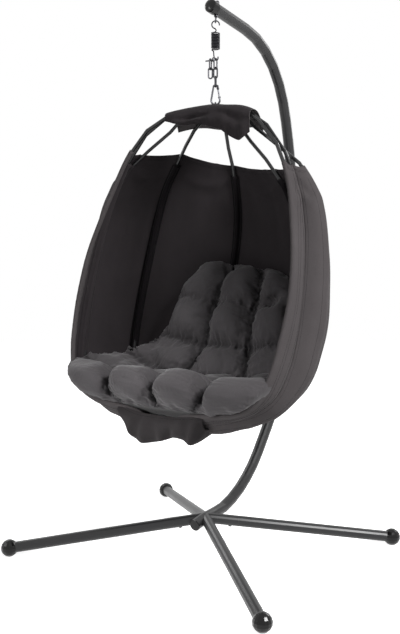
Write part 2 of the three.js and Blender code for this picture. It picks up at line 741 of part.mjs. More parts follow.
function eyeBolt() {
  const ring = new THREE.TorusGeometry(eyeRadius, eyeWire, 8, 20).rotateX(Math.PI / 2);
  ring.translate(0, 0, eyeTop - eyeRadius - eyeWire);
  const shankTop = poleRadius + clearance + acornHeight * acornPocketShare;
  const shankFoot = eyeTop - eyeWire;
  const shank = new THREE.CylinderGeometry(eyeShank, eyeShank, shankTop - shankFoot, 12).rotateX(Math.PI / 2);
  shank.translate(0, 0, (shankTop + shankFoot) / 2);
  return joined(ring, shank).applyMatrix4(eyeFrame());
}

function eyeCollar() {
  const nut = hexNut(collarRadius, collarHeight, eyeShank + boltRoom);
  return nut.translate(0, 0, collarTop - collarHeight).applyMatrix4(eyeFrame());
}

function acornNut() {
  const bore = eyeShank + boltRoom;
  const depth = acornHeight * acornPocketShare + clearance;
  const flat = collarRadius * acornFlatShare;
  const rim = [flat * acornCrownShare, acornHeight * acornRimShare];
  const dome = turned([[0, 0], [flat, 0], [flat, acornHeight * acornDomeShare], rim, [0, acornHeight]], 12);
  const hex = hexNut(collarRadius, acornHeight * acornHexShare, 0);
  const pocket = new THREE.CylinderGeometry(bore, bore, depth + overrun, 8).rotateX(Math.PI / 2);
  pocket.translate(0, 0, (depth - overrun) / 2);
  return cut(joined(dome, hex), pocket).translate(0, 0, poleRadius + clearance).applyMatrix4(eyeFrame());
}

// Everything below hangs on the vertical line under the eye's lowest wire, from the centre of the hook's wire
const plumb = new THREE.Vector3(0, 0, -1);
const eyeSlack = plumb.clone().applyMatrix4(new THREE.Matrix4().extractRotation(eyeFrame()).invert());
eyeSlack.y = 0;
eyeSlack.normalize().applyMatrix4(new THREE.Matrix4().extractRotation(eyeFrame()));
const eyeLow = eyeCentre.clone().addScaledVector(eyeSlack, eyeRadius);
const hang = new THREE.Vector3(0, eyeLow.y, eyeLow.z + eyeWire + springWire + clearance);

const suspension = new THREE.Group();
suspension.position.copy(hang);
model.add(suspension);

const coilTop = -hookRadius - hookDrop;
const coilFoot = coilTop - coilTurns * coilPitch;
const lowerEyeHeight = coilFoot - lowerEyeDrop;
const pinHeight = lowerEyeHeight - (lowerEyeRadius - springWire - pinRadius - clearance);
const pinAlong = planDirection(pinTurn);
const pinSquare = planDirection(pinTurn + 90);

// The spring's wire from the tip of its hook, down the coil, to the end of its lower eye
function springPoints() {
  const hookSide = planDirection(hookTurn);
  const points = [];
  const hookSteps = 16;
  for (let i = 0; i <= hookSteps; i += 1) {
    const angle = THREE.MathUtils.degToRad(THREE.MathUtils.lerp(hookTipAngle, hookRootAngle, i / hookSteps));
    const point = hookSide.clone().multiplyScalar(hookRadius * Math.cos(angle));
    points.push(point.setZ(hookRadius * (Math.sin(angle) - 1)));
  }
  const coilStart = hookTurn + coilLag;
  const onCoil = (radiusShare, turn, z) => planDirection(coilStart + turn).multiplyScalar(coilRadius * radiusShare).setZ(z);
  points.push(...coilLeadIn.map(([share, turn, above]) => onCoil(share, turn, coilTop + above)));
  const coilCount = coilTurns * coilSteps;
  for (let i = 0; i <= coilCount; i += 1) {
    points.push(onCoil(1, (360 * i) / coilSteps, coilTop - (coilPitch * i) / coilSteps));
  }
  const eyeAt = (angle) => {
    const turn = THREE.MathUtils.degToRad(angle);
    return pinAlong.clone().multiplyScalar(lowerEyeShift)
      .addScaledVector(pinSquare, lowerEyeRadius * Math.cos(turn))
      .setZ(lowerEyeHeight + lowerEyeRadius * Math.sin(turn));
  };
  points.push(...coilLeadOut.map(([share, turn, above]) => onCoil(share, turn, coilFoot + above)));
  const neck = eyeAt(0).addScaledVector(pinSquare, neckShift);
  points.push(neck.clone().lerp(points[points.length - 1], 0.5));
  points.push(neck.setZ(lowerEyeHeight + neckRiseShare * lowerEyeRadius));
  const eyeSteps = 12;
  for (let i = 0; i <= eyeSteps; i += 1) points.push(eyeAt(THREE.MathUtils.lerp(...lowerEyeAngles, i / eyeSteps)));
  return points;
}

// Least gap between stretches of one wire that are at least a turn of the coil apart along it
function leastGap(points, radius, apart) {
  const along = [0];
  for (let i = 1; i < points.length; i += 1) along.push(along[i - 1] + points[i].distanceTo(points[i - 1]));
  let least = Infinity;
  for (let i = 0; i < points.length; i += 1) {
    for (let j = i + 1; j < points.length; j += 1) {
      if (along[j] - along[i] > apart) least = Math.min(least, points[i].distanceTo(points[j]) - 2 * radius);
    }
  }
  return least;
}

function linkPoints(length, width, wire) {
  const bend = width / 2 - wire;
  const rise = length / 2 - wire - bend;
  const points = [];
  const bendSteps = 8;
  [1, -1].forEach((end) => {
    for (let i = 0; i <= bendSteps; i += 1) {
      const angle = (Math.PI * i) / bendSteps;
      points.push(new THREE.Vector3(end * bend * Math.cos(angle), 0, end * (rise + bend * Math.sin(angle))));
    }
  });
  return points;
}

function chainLink() {
  return tubeThrough(linkPoints(linkLength, linkWidth, linkWire), linkWire, 6, true);
}

function hangerPin() {
  const start = pinAlong.clone().multiplyScalar(-pinTail);
  const corner = pinAlong.clone().multiplyScalar(pinReach);
  const points = [start.clone().setZ(0), corner.clone().addScaledVector(pinAlong, -pinBend)];
  const bendSteps = 4;
  for (let i = 1; i <= bendSteps; i += 1) {
    const angle = (Math.PI / 2) * (i / bendSteps);
    const out = pinBend * (Math.sin(angle) - 1);
    points.push(corner.clone().addScaledVector(pinAlong, out).setZ(pinBend * (1 - Math.cos(angle))));
  }
  points.push(corner.clone().setZ(pinTip));
  return tubeThrough(points, pinRadius, 8);
}

// Carabiner in its own plane: x across, z up, the middle of its bottom wire's centreline at z = 0
const carabinerRise = carabinerHeight - 2 * carabinerWire;
const topCentre = carabinerRise - carabinerTopRadius;
const flareAngle = Math.asin((carabinerBottomRadius - carabinerTopRadius) / (topCentre - carabinerBottomRadius));
const onArc = (radius, height, angle) => new THREE.Vector3(radius * Math.cos(angle), 0, height + radius * Math.sin(angle));
const sideFoot = onArc(carabinerBottomRadius, carabinerBottomRadius, flareAngle);
const sideHead = onArc(carabinerTopRadius, topCentre, flareAngle);
const gateFoot = sideFoot.clone().lerp(sideHead, gateLowShare);
const gateHead = sideFoot.clone().lerp(sideHead, gateHighShare);
const gateAlong = gateHead.clone().sub(gateFoot).normalize();

function cheeks() {
  const offset = gateWire + clearance + cheekThickness / 2;
  return [offset, -offset].map((y) => {
    return new THREE.CylinderGeometry(cheekRadius, cheekRadius, cheekThickness, 12).translate(gateHead.x, y, gateHead.z);
  });
}

function carabinerBody() {
  const points = [gateFoot.clone().addScaledVector(gateAlong, -noseLength / 2)];
  const arcSteps = 10;
  for (let i = 0; i <= arcSteps; i += 1) {
    const angle = THREE.MathUtils.lerp(flareAngle, -Math.PI - flareAngle, i / arcSteps);
    points.push(onArc(carabinerBottomRadius, carabinerBottomRadius, angle));
  }
  for (let i = 0; i <= arcSteps; i += 1) {
    const angle = THREE.MathUtils.lerp(Math.PI - flareAngle, flareAngle, i / arcSteps);
    points.push(onArc(carabinerTopRadius, topCentre, angle));
  }
  const neck = gateHead.clone().addScaledVector(gateAlong, gateWire + 2 * clearance);
  points.push(neck);
  const body = tubeThrough(points, carabinerWire, 8);
  const nose = rod(gateFoot.clone().addScaledVector(gateAlong, -noseLength), gateFoot, noseRadius, 10);
  const yokeWidth = 2 * (gateWire + clearance + cheekThickness);
  const yoke = new THREE.BoxGeometry(2 * carabinerWire, yokeWidth, 2 * carabinerWire);
  const yokeCentre = gateHead.clone().addScaledVector(gateAlong, cheekRadius + carabinerWire);
  yoke.translate(yokeCentre.x, 0, yokeCentre.z);
  const arms = [1, -1].map((side) => {
    const arm = new THREE.BoxGeometry(2 * carabinerWire, cheekThickness, cheekRadius + carabinerWire);
    const place = gateHead.clone().addScaledVector(gateAlong, (cheekRadius + carabinerWire) / 2);
    return arm.translate(place.x, side * (gateWire + clearance + cheekThickness / 2), place.z);
  });
  const slot = new THREE.CylinderGeometry(cheekRadius + clearance, cheekRadius + clearance, 2 * (gateWire + clearance), 16);
  slot.translate(gateHead.x, 0, gateHead.z);
  const hole = new THREE.CylinderGeometry(rivetRadius + clearance, rivetRadius + clearance, yokeWidth + overrun, 8);
  hole.translate(gateHead.x, 0, gateHead.z);
  return cut(joined(body, nose, yoke, ...arms, ...cheeks()), slot, hole);
}

function carabinerGate() {
  const bar = rod(gateFoot.clone().addScaledVector(gateAlong, clearance), gateHead, gateWire, 8);
  const boss = new THREE.CylinderGeometry(cheekRadius, cheekRadius, 2 * gateWire, 12).translate(gateHead.x, 0, gateHead.z);
  const bore = rivetRadius + clearance;
  const hole = new THREE.CylinderGeometry(bore, bore, 2 * gateWire + overrun, 8).translate(gateHead.x, 0, gateHead.z);
  return cut(joined(bar, boss), hole);
}

function carabinerRivet() {
  const half = gateWire + clearance + cheekThickness + clearance;
  const headRadius = rivetHeadShare * rivetRadius;
  const end = half + rivetHeadHeight;
  const profile = [
    [0, -end], [headRadius, -end], [headRadius, -half], [rivetRadius, -half],
    [rivetRadius, half], [headRadius, half], [headRadius, end], [0, end],
  ];
  const rivet = new THREE.LatheGeometry(profile.map(([r, y]) => new THREE.Vector2(r, y)), 10);
  return rivet.translate(gateHead.x, 0, gateHead.z);
}

// Heights down the chain, each piece hanging in the one above
const linkInside = linkLength / 2 - 2 * linkWire;
const linkPitch = 2 * linkInside - clearance;
const firstLink = pinHeight + pinRadius + clearance - linkInside;
const linkHeights = linkTurns.map((_, i) => firstLink - i * linkPitch);
const lastLinkFoot = linkHeights[linkHeights.length - 1] - linkLength / 2 + linkWire;
const carabinerFoot = lastLinkFoot + linkWire + carabinerWire + clearance - carabinerRise;
const podEyeHeight = carabinerFoot + carabinerWire + podEyeWire + clearance - podEyeRadius;
const crownHeight = podEyeHeight - podEyeRadius - podEyeWire - clearance - plateThickness - 2 * clearance - ribRadius;

function addSuspension() {
  addPiece('eye_bolt', eyeBolt(), 'hardware');
  addPiece('eye_bolt_collar', eyeCollar(), 'hardware');
  addPiece('eye_bolt_nut', acornNut(), 'hardware');
  const wire = springPoints();
  const turnLength = 2 * Math.PI * coilRadius;
  console.log(`least gap of the spring to itself: ${leastGap(wire, springWire, turnLength / 3).toFixed(2)} mm`);
  addPiece('suspension_spring', tubeThrough(wire, springWire, 5), 'hardware', suspension);
  addPiece('hanger_pin', hangerPin(), 'hardware', suspension).position.z = pinHeight;
  linkTurns.forEach((turn, i) => {
    const link = addPiece(`chain_link_${i + 1}`, chainLink(), 'hardware', suspension);
    link.position.z = linkHeights[i];
    link.rotation.z = THREE.MathUtils.degToRad(turn);
  });
  spareTurns.forEach((turn, i) => {
    const link = addPiece(`spare_link_${i + 1}`, chainLink(), 'hardware', suspension);
    link.position.copy(pinAlong).multiplyScalar(spareShift).setZ(linkHeights[i]);
    link.rotation.z = THREE.MathUtils.degToRad(turn);
  });
  const hook = new THREE.Group();
  hook.position.z = carabinerFoot;
  hook.rotation.z = THREE.MathUtils.degToRad(carabinerTurn);
  suspension.add(hook);
  addPiece('carabiner_body', carabinerBody(), 'hardware', hook);
  addPiece('carabiner_gate', carabinerGate(), 'hardware', hook);
  addPiece('carabiner_rivet', carabinerRivet(), 'hardware', hook);
}

// Pod: the basket's own axes stand on the hang axis at the crown, where the ribs' upper ends lie

const pod = new THREE.Group();
pod.position.set(0, 0, crownHeight);
suspension.add(pod);

const keelCentre = new THREE.Vector3(0, -keelFrontShare * podDepth, -keelDropShare * podHeight);
const keelTurn = new THREE.Euler(-THREE.MathUtils.degToRad(keelTilt), 0, 0);

function ringPoint(angle, radius) {
  return planDirection(angle).multiplyScalar(radius);
}

function keelPoint(angle, radius) {
  return ringPoint(angle, radius).applyEuler(keelTurn).add(keelCentre);
}

function ribPath({ crownAngle, keelAngle, hemShare, shares }) {
  const body = shares.map(([x, back, down]) => new THREE.Vector3(x * podHalfWidth, back * podDepth, -down * podHeight));
  const crownEnd = ringRadii.map((radius) => ringPoint(crownAngle, radius));
  const keelEnd = ringRadii.map((radius) => keelPoint(keelAngle, radius)).reverse();
  const points = [...crownEnd, ...body, ...keelEnd];
  const curve = new THREE.CatmullRomCurve3(points, false, 'centripetal');
  const above = crownShares.map((share) => share * hemShare);
  const below = rowShares.map((share) => THREE.MathUtils.lerp(hemShare, 1, share));
  return new Stepped(curve, [...above, ...below]);
}

function mirrored(point) {
  return new THREE.Vector3(-point.x, point.y, point.z);
}

const ribPaths = Object.fromEntries(Object.entries(ribs).map(([name, rib]) => [name, ribPath(rib)]));
const ribSteps = crownShares.length + rowShares.length - 1;

function ribCentres(name, side) {
  const points = ribPaths[name].getPoints(ribSteps);
  return side < 0 ? points.map(mirrored) : points;
}

function ribTube(name) {
  return tube(ribPaths[name], ribRadius, ribBore, ribSides, ribSteps, boreSides);
}

function mirroredGeometry(geometry) {
  return welded(geometry.clone().scale(-1, 1, 1));
}

function plate(boltHole) {
  const disc = new THREE.Shape(polygon(plateRadius, 24));
  disc.holes.push(new THREE.Path(polygon(boltHole, 12)));
  return new THREE.ExtrudeGeometry(disc, { depth: plateThickness, bevelEnabled: false });
}

const plateFoot = ribRadius + 2 * clearance;
const plateTop = plateFoot + plateThickness;

function podEye() {
  const centre = podEyeHeight - crownHeight;
  const ring = new THREE.TorusGeometry(podEyeRadius, podEyeWire, 8, 20).rotateX(Math.PI / 2);
  ring.translate(0, 0, centre);
  const top = centre - podEyeRadius;
  const foot = -plateTop - clearance - podNutHeight - clearance;
  const shank = new THREE.CylinderGeometry(podShank, podShank, top - foot, 12).rotateX(Math.PI / 2);
  shank.translate(0, 0, (top + foot) / 2);
  return joined(ring, shank).rotateZ(THREE.MathUtils.degToRad(carabinerTurn + 90));
}

function podNut() {
  return hexNut(podNutRadius, podNutHeight, podShank + boltRoom).translate(0, 0, -plateTop - clearance - podNutHeight);
}

function keelBolt() {
  const bolt = domed(keelHeadRadius, keelHeadHeight, keelBoltRadius, 2 * plateTop + clearance, 12);
  return bolt.rotateX(Math.PI).translate(0, 0, -plateTop - clearance);
}

// The rows of points that the sling follows: the ribs' own stations, with cloth between them
const slingOrder = [
  ['front', 1], ['second', 1], ['side', 1], ['rear', 1], ['centre', 1], ['rear', -1], ['side', -1], ['second', -1], ['front', -1],
];
const betweenRibs = [0, 1, 2, 2, 2, 2, 1, 0];

function slingGrid() {
  const lines = slingOrder.map(([name, side]) => ribCentres(name, side).slice(crownShares.length, crownShares.length + slingRows));
  const middle = new THREE.Vector3(0, -podDepth / 4, -podHeight / 2);
  const grid = Array.from({ length: slingRows }, () => []);
  grid.forEach((row, i) => {
    lines.forEach((line, k) => {
      row.push(line[i]);
      const next = lines[k + 1];
      const extra = betweenRibs[k] ?? 0;
      for (let n = 1; n <= extra; n += 1) {
        const t = n / (extra + 1);
        const point = line[i].clone().lerp(next[i], t);
        const arch = 4 * t * (1 - t);
        const outward = point.clone().sub(middle).setZ(0).normalize();
        point.addScaledVector(outward, arch * slingBellyShare * line[i].distanceTo(next[i]));
        if (i === 0) point.z -= arch * hemSag;
        row.push(point);
      }
    });
  });
  return grid;
}

const clothFoot = (ribRadius + 2 * clearance) / Math.cos(THREE.MathUtils.degToRad(sleeveAngle / 2));

// The cloth's edge wraps a front rib: two more points, turned about the rib from its outside to its front
function sleevePoints(rib, next, above, below, side, offset) {
  const along = below.clone().sub(above).normalize();
  const away = rib.clone().sub(next);
  away.addScaledVector(along, -away.dot(along)).normalize();
  const out = new THREE.Vector3().crossVectors(away, along).multiplyScalar(side);
  return [2, 1].map((k) => {
    const angle = THREE.MathUtils.degToRad(k * sleeveAngle);
    return rib.clone().addScaledVector(out, offset * Math.cos(angle)).addScaledVector(away, offset * Math.sin(angle));
  });
}

// The columns where the cloth turns sharply over a side rib and rounds it in three points
const roundedColumns = slingOrder.map(([name], k) => (name === 'side' ? k + betweenRibs.slice(0, k).reduce((a, b) => a + b, 0) : -1));

// One face of the sling, at a distance outside the ribs' centrelines
function slingFace(offset) {
  const grid = slingGrid();
  const last = grid[0].length - 1;
  return grid.map((row, i) => {
    const above = grid[Math.max(i - 1, 0)];
    const below = grid[Math.min(i + 1, grid.length - 1)];
    const panelNormal = (j) => {
      const down = below[j].clone().sub(above[j]);
      return down.cross(row[j + 1].clone().sub(row[j])).normalize();
    };
    const face = row.flatMap((point, j) => {
      const before = panelNormal(Math.max(j - 1, 0));
      const after = panelNormal(Math.min(j, last - 1));
      const bisector = before.clone().add(after).normalize();
      if (roundedColumns.includes(j)) {
        return [before, bisector, after].map((normal) => point.clone().addScaledVector(normal, offset));
      }
      return [point.clone().addScaledVector(bisector, offset / bisector.dot(after))];
    });
    const right = sleevePoints(row[0], row[1], above[0], below[0], 1, offset);
    const left = sleevePoints(row[last], row[last - 1], above[last], below[last], -1, offset);
    return [...right, ...face, ...left.reverse()];
  });
}

function sling() {
  return between(slingFace(clothFoot), slingFace(clothFoot + clothThickness));
}

// A sheet of cloth on a grid of points, its thickness added on the side that the grid's normals point to
function sheet(grid) {
  const lastRow = grid.length - 1;
  const lastColumn = grid[0].length - 1;
  const raised = grid.map((row, i) => row.map((point, j) => {
    const down = grid[Math.min(i + 1, lastRow)][j].clone().sub(grid[Math.max(i - 1, 0)][j]);
    const across = row[Math.min(j + 1, lastColumn)].clone().sub(row[Math.max(j - 1, 0)]);
    return point.clone().addScaledVector(across.cross(down).normalize(), clothThickness);
  }));
  return between(grid, raised);
}

function topCover() {
  const profiles = Array.from({ length: coverRows }, (_, i) => (i * (coverShares[0].length - 1)) / (coverRows - 1));
  const grid = profiles.map((place) => Array.from({ length: coverColumns }, (_, j) => {
    const x = (2 * j) / (coverColumns - 1) - 1;
    const column = coverPlaceShares.findIndex((share) => share >= Math.abs(x) - weld);
    const right = Math.max(column, 1);
    const t = (Math.abs(x) - coverPlaceShares[right - 1]) / (coverPlaceShares[right] - coverPlaceShares[right - 1]);
    const [back, up] = blend(smoothRow(coverShares[right - 1], place), smoothRow(coverShares[right], place), t);
    return new THREE.Vector3(x * coverHalfWidth, back * coverDepth, up * coverDepth);
  }));
  const opening = new THREE.CylinderGeometry(coverOpening, coverOpening, coverDepth, 16).rotateX(Math.PI / 2);
  return cut(settle(sheet(grid), new THREE.Vector3(0, 0, 1), gapToCrown), opening);
}

// The bottom cover hangs under the keel as a shallow pouch, in the keel plates' own plane
function bottomCover() {
  return sheet(Array.from({ length: bottomCoverRows }, (_, i) => Array.from({ length: bottomCoverColumns }, (__, j) => {
    const u = 1 - (2 * j) / (bottomCoverColumns - 1);
    const v = (2 * i) / (bottomCoverRows - 1) - 1;
    const depth = bottomCoverGap + bottomCoverBelly * (1 - u ** 2) * (1 - v ** 4);
    const along = THREE.MathUtils.mapLinear(v, -1, 1, -bottomCoverFront, bottomCoverBack) * (1 - bottomCoverTaper * u ** 2);
    return new THREE.Vector3(u * bottomCoverHalfWidth, along, -depth).applyEuler(keelTurn).add(keelCentre);
  })));
}

// Cushion: each row is a loop, over the upper face and back under the lower one

function cushionRow(place) {
  const table = cushionShares.map(({ top, under, seam }) => [...top, ...under, ...seam]);
  const [topBack, topUp, underBack, underUp, seamX, seamBack, seamUp] = smoothRow(table, place);
  const rowShare = place / (table.length - 1);
  const channels = rowShare < backStartShare ? seatChannelShares : backChannelShares;
  const point = (x, back, up) => new THREE.Vector3(
    x * cushionWidthShare * podHalfWidth,
    back * cushionDepthShare * podDepth,
    up * cushionHeightShare * podHeight + keelCentre.z,
  );
  const across = Array.from({ length: cushionColumns + 1 }, (_, k) => -Math.cos((Math.PI * k) / cushionColumns));
  const upper = across.map((s) => {
    const crown = 1 - Math.abs(s) ** 3;
    const pinch = channels.reduce((sum, c) => sum + Math.exp(-(((Math.abs(s) - c) / channelWidthShare) ** 2)), 0);
    const height = crown - channelPinchShare * crown * pinch;
    const face = point(s * seamX, THREE.MathUtils.lerp(seamBack, topBack, crown), THREE.MathUtils.lerp(seamUp, topUp, crown));
    const sole = point(s * seamX, THREE.MathUtils.lerp(seamBack, underBack, crown), THREE.MathUtils.lerp(seamUp, underUp, crown));
    return face.lerp(sole, 1 - height / Math.max(crown, weld));
  });
  const lower = across.map((s) => {
    const crown = 1 - Math.abs(s) ** 3;
    return point(s * seamX, THREE.MathUtils.lerp(seamBack, underBack, crown), THREE.MathUtils.lerp(seamUp, underUp, crown));
  });
  return { upper, lower };
}

function cushionLoops() {
  const places = Array.from({ length: cushionRows }, (_, i) => (i * (cushionShares.length - 1)) / (cushionRows - 1));
  return places.map((place) => {
    const { upper, lower } = cushionRow(place);
    return [...upper, ...lower.slice(1, -1).reverse()];
  });
}

// Loops joined in a row; each end is closed by strips from its upper edge to its lower one
function cushion() {
  const loops = cushionLoops();
  const count = loops[0].length;
  const index = [];
  for (let i = 0; i < loops.length - 1; i += 1) {
    for (let j = 0; j < count; j += 1) {
      const a = i * count + j;
      const b = i * count + ((j + 1) % count);
      index.push(a, b, a + count, b, b + count, a + count);
    }
  }
  [0, loops.length - 1].forEach((row, end) => {
    for (let k = 0; k < cushionColumns; k += 1) {
      const upper = [k, k + 1].map((n) => row * count + n);
      const lower = [k, k + 1].map((n) => row * count + ((count - n) % count));
      const faces = [[upper[0], lower[0], upper[1]], [upper[1], lower[0], lower[1]]];
      faces.filter(([a, b, c]) => new Set([a, b, c]).size === 3).forEach((face) => {
        index.push(...(end ? face.reverse() : face));
      });
    }
  });
  return closed(loops.flat(), index);
}

// A geometry's corners, the middles of its edges and the middles of its faces
function samplePoints(geometry) {
  const { position } = geometry.attributes;
  const corner = (i) => new THREE.Vector3().fromBufferAttribute(position, geometry.index.getX(i));
  const points = [];
  for (let i = 0; i < geometry.index.count; i += 3) {
    const [a, b, c] = [corner(i), corner(i + 1), corner(i + 2)];
    points.push(a, a.clone().lerp(b, 0.5), new THREE.Triangle(a, b, c).getMidpoint(new THREE.Vector3()));
  }
  return points;
}

// Slides a soft piece against what carries it: from a distance out along the way off, back until the least gap is the
// clearance. The gap function gives the distance from a point to the carrying pieces.
function settle(geometry, wayOff, gapTo) {
  const points = samplePoints(geometry);
  const moved = new THREE.Vector3();
  const isClear = (distance) => points.every((point) => gapTo(moved.copy(point).addScaledVector(wayOff, distance)) > clearance);
  let free = settleReach;
  while (free > -settleReach && isClear(free - settleStep)) free -= settleStep;
  let caught = free - settleStep;
  for (let i = 0; i < settleHalvings; i += 1) {
    const middle = (free + caught) / 2;
    if (isClear(middle)) free = middle;
    else caught = middle;
  }
  console.log(`settled by ${free.toFixed(2)} mm`);
  const shift = wayOff.clone().multiplyScalar(free);
  return geometry.clone().translate(shift.x, shift.y, shift.z);
}

const ribLines = slingOrder.map(([name, side]) => ribCentres(name, side));
const nearest = new THREE.Vector3();
const stretch = new THREE.Line3();

function gapToRibs(point) {
  let least = Infinity;
  ribLines.forEach((line) => {
    for (let i = 0; i < line.length - 1; i += 1) {
      stretch.set(line[i], line[i + 1]).closestPointToPoint(point, true, nearest);
      least = Math.min(least, nearest.distanceToSquared(point));
    }
  });
  return Math.sqrt(least) - ribRadius;
}

function gapToCrown(point) {
  const overPlate = Math.hypot(point.x, point.y) < plateRadius ? point.z - plateTop : Infinity;
  return Math.min(overPlate, gapToRibs(point));
}

// The gap to a mesh, for the faces of it that lie near a box
function gapToMesh(geometry, box) {
  const { position } = geometry.attributes;
  const corner = (i) => new THREE.Vector3().fromBufferAttribute(position, geometry.index.getX(i));
  const faces = [];
  for (let i = 0; i < geometry.index.count; i += 3) {
    const face = new THREE.Triangle(corner(i), corner(i + 1), corner(i + 2));
    if (box.intersectsTriangle(face)) faces.push(face);
  }
  return (point) => {
    return Math.sqrt(faces.reduce((least, face) => {
      return Math.min(least, face.closestPointToPoint(point, nearest).distanceToSquared(point));
    }, Infinity));
  };
}

function addPod() {
  addPiece('pod_eye', podEye(), 'hardware', pod);
  addPiece('pod_eye_nut', podNut(), 'hardware', pod);
  addPiece('crown_plate_upper', plate(podShank + boltRoom), 'frame', pod).position.z = plateFoot;
  addPiece('crown_plate_lower', plate(podShank + boltRoom), 'frame', pod).position.z = -plateTop;
  Object.keys(ribs).forEach((name) => {
    const geometry = ribTube(name);
    if (name === 'centre') {
      addPiece('rib_centre', geometry, 'frame', pod);
    } else {
      addPiece(`rib_${name}_right`, geometry, 'frame', pod);
      addPiece(`rib_${name}_left`, mirroredGeometry(geometry), 'frame', pod);
    }
  });
  const keel = new THREE.Group();
  keel.position.copy(keelCentre);
  keel.rotation.copy(keelTurn);
  pod.add(keel);
  addPiece('keel_plate_upper', plate(keelBoltRadius + boltRoom), 'frame', keel).position.z = plateFoot;
  addPiece('keel_plate_lower', plate(keelBoltRadius + boltRoom), 'frame', keel).position.z = -plateTop;
  addPiece('keel_bolt', keelBolt(), 'hardware', keel);
  const shell = sling();
  addPiece('sling', shell, 'cloth', pod);
  addPiece('top_cover', topCover(), 'cloth', pod);
  const pouch = bottomCover();
  pouch.computeBoundingBox();
  const nearPouch = pouch.boundingBox.clone().expandByScalar(settleReach);
  const offKeel = new THREE.Vector3(0, 0, -1).applyEuler(keelTurn);
  addPiece('bottom_cover', settle(pouch, offKeel, gapToMesh(shell, nearPouch)), 'cloth', pod);
  addPiece('cushion', settle(cushion(), new THREE.Vector3(0, 0, 1), gapToRibs), 'cushion', pod);
}

addStand();
addSuspension();
addPod();

// The origin goes to the middle of the whole model's footprint
const bounds = new THREE.Box3().setFromObject(model);
model.position.y = -(bounds.min.y + bounds.max.y) / 2;

export default model;
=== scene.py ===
# %% [markdown]
# # Pod chair: dressing a CAD frame in Blender
#
# The chair is a basket of bent tubes inside a cloth sling. It hangs from a C-shaped stand by a spring, a short chain
# and a carabiner. The CAD model already holds every tube, bolt and link at its real size, so this script loads that
# model first and never moves it. What is left for Blender is cloth, stitching, padding, finish and light.

import bisect
import functools
import json
import math

import bmesh
import bpy
from mathutils import Matrix, Vector, kdtree, noise


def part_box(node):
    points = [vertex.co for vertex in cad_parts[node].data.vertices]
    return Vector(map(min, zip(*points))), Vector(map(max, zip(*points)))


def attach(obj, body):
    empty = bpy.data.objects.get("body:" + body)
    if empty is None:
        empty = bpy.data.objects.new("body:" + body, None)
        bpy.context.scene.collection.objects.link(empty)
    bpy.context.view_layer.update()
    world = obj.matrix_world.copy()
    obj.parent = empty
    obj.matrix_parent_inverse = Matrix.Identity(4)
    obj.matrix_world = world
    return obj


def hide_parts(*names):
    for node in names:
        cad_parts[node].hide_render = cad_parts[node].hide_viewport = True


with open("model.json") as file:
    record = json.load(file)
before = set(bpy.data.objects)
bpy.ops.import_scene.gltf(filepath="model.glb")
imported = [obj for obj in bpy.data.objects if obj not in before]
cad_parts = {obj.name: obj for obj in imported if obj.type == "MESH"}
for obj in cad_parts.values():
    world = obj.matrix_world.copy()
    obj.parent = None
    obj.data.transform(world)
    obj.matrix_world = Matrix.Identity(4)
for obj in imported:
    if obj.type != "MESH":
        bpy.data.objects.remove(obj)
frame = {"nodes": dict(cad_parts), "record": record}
scene = bpy.context.scene
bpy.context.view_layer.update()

# %% [markdown]
# ## Camera
#
# The photograph was taken a little above the seat, from the front and to the chair's side. Its place was worked out
# by fitting the stand's bends and feet. A camera's own axes are right, up and back, so three directions make its
# whole rotation, and no tracking constraint is needed.

# %% Camera at the photograph's view
PHOTO_HEIGHT = 634  # pixels
FOCAL_PIXELS = 884.9
OPTICAL_AXIS_Y = 314.96  # pixels from the top of the photograph
AZIMUTH, ELEVATION = math.radians(35.723), math.radians(4.783)
CAMERA_PLACE = (1.8292, -2.6488, 1.1275)


def add_object(name, data):
    """Puts a mesh, a lamp or a camera into the scene."""
    thing = bpy.data.objects.new(name, data)
    scene.collection.objects.link(thing)
    return thing


back = Vector((
    math.sin(AZIMUTH) * math.cos(ELEVATION),
    -math.cos(AZIMUTH) * math.cos(ELEVATION),
    math.sin(ELEVATION),
))
right = Vector((math.cos(AZIMUTH), math.sin(AZIMUTH), 0))
up = back.cross(right)

camera_data = bpy.data.cameras.new("camera")
camera_data.sensor_width = 36
camera_data.lens = FOCAL_PIXELS / PHOTO_HEIGHT * camera_data.sensor_width
camera_data.shift_y = (OPTICAL_AXIS_Y - PHOTO_HEIGHT / 2) / PHOTO_HEIGHT
camera_data.clip_end = 50
camera = add_object("camera", camera_data)
camera.matrix_world = Matrix.Translation(CAMERA_PLACE) @ Matrix((right, up, back)).transposed().to_4x4()
scene.camera = camera
print(f"lens {camera_data.lens:.1f} mm")

# %% [markdown]
# ## Colour and nodes
#
# Colours are picked as the hex values that a screen shows, but shaders work in linear light. One function turns the
# first into the second. A second one adds a node with its settings and links. The rest are short names for what every
# finish here is made of: cloudy noise, a value or a colour between two, and bumps.

# %% Helpers for every material
def linear(hex_colour):
    channels = [int(hex_colour[i:i + 2], 16) / 255 for i in (1, 3, 5)]
    return [c / 12.92 if c <= 0.04045 else ((c + 0.055) / 1.055) ** 2.4 for c in channels] + [1]


def add_node(material, kind, settings=None, **inputs):
    """Adds one node. An input's value is either a number or colour, or another node's output."""
    node = material.node_tree.nodes.new(kind)
    for name, value in (settings or {}).items():
        setattr(node, name, value)
    for name, value in inputs.items():
        numbered = name[0] == "i" and name[1:].isdigit()
        socket = node.inputs[int(name[1:]) if numbered else name.replace("_", " ")]
        if isinstance(value, bpy.types.NodeSocket):
            material.node_tree.links.new(value, socket)
        else:
            socket.default_value = value
    return node


def own_place(material, kind="Object"):
    return add_node(material, "ShaderNodeTexCoord").outputs[kind]


def calculate(material, operation, *values):
    inputs = {f"i{i}": value for i, value in enumerate(values)}
    return add_node(material, "ShaderNodeMath", {"operation": operation}, **inputs).outputs[0]


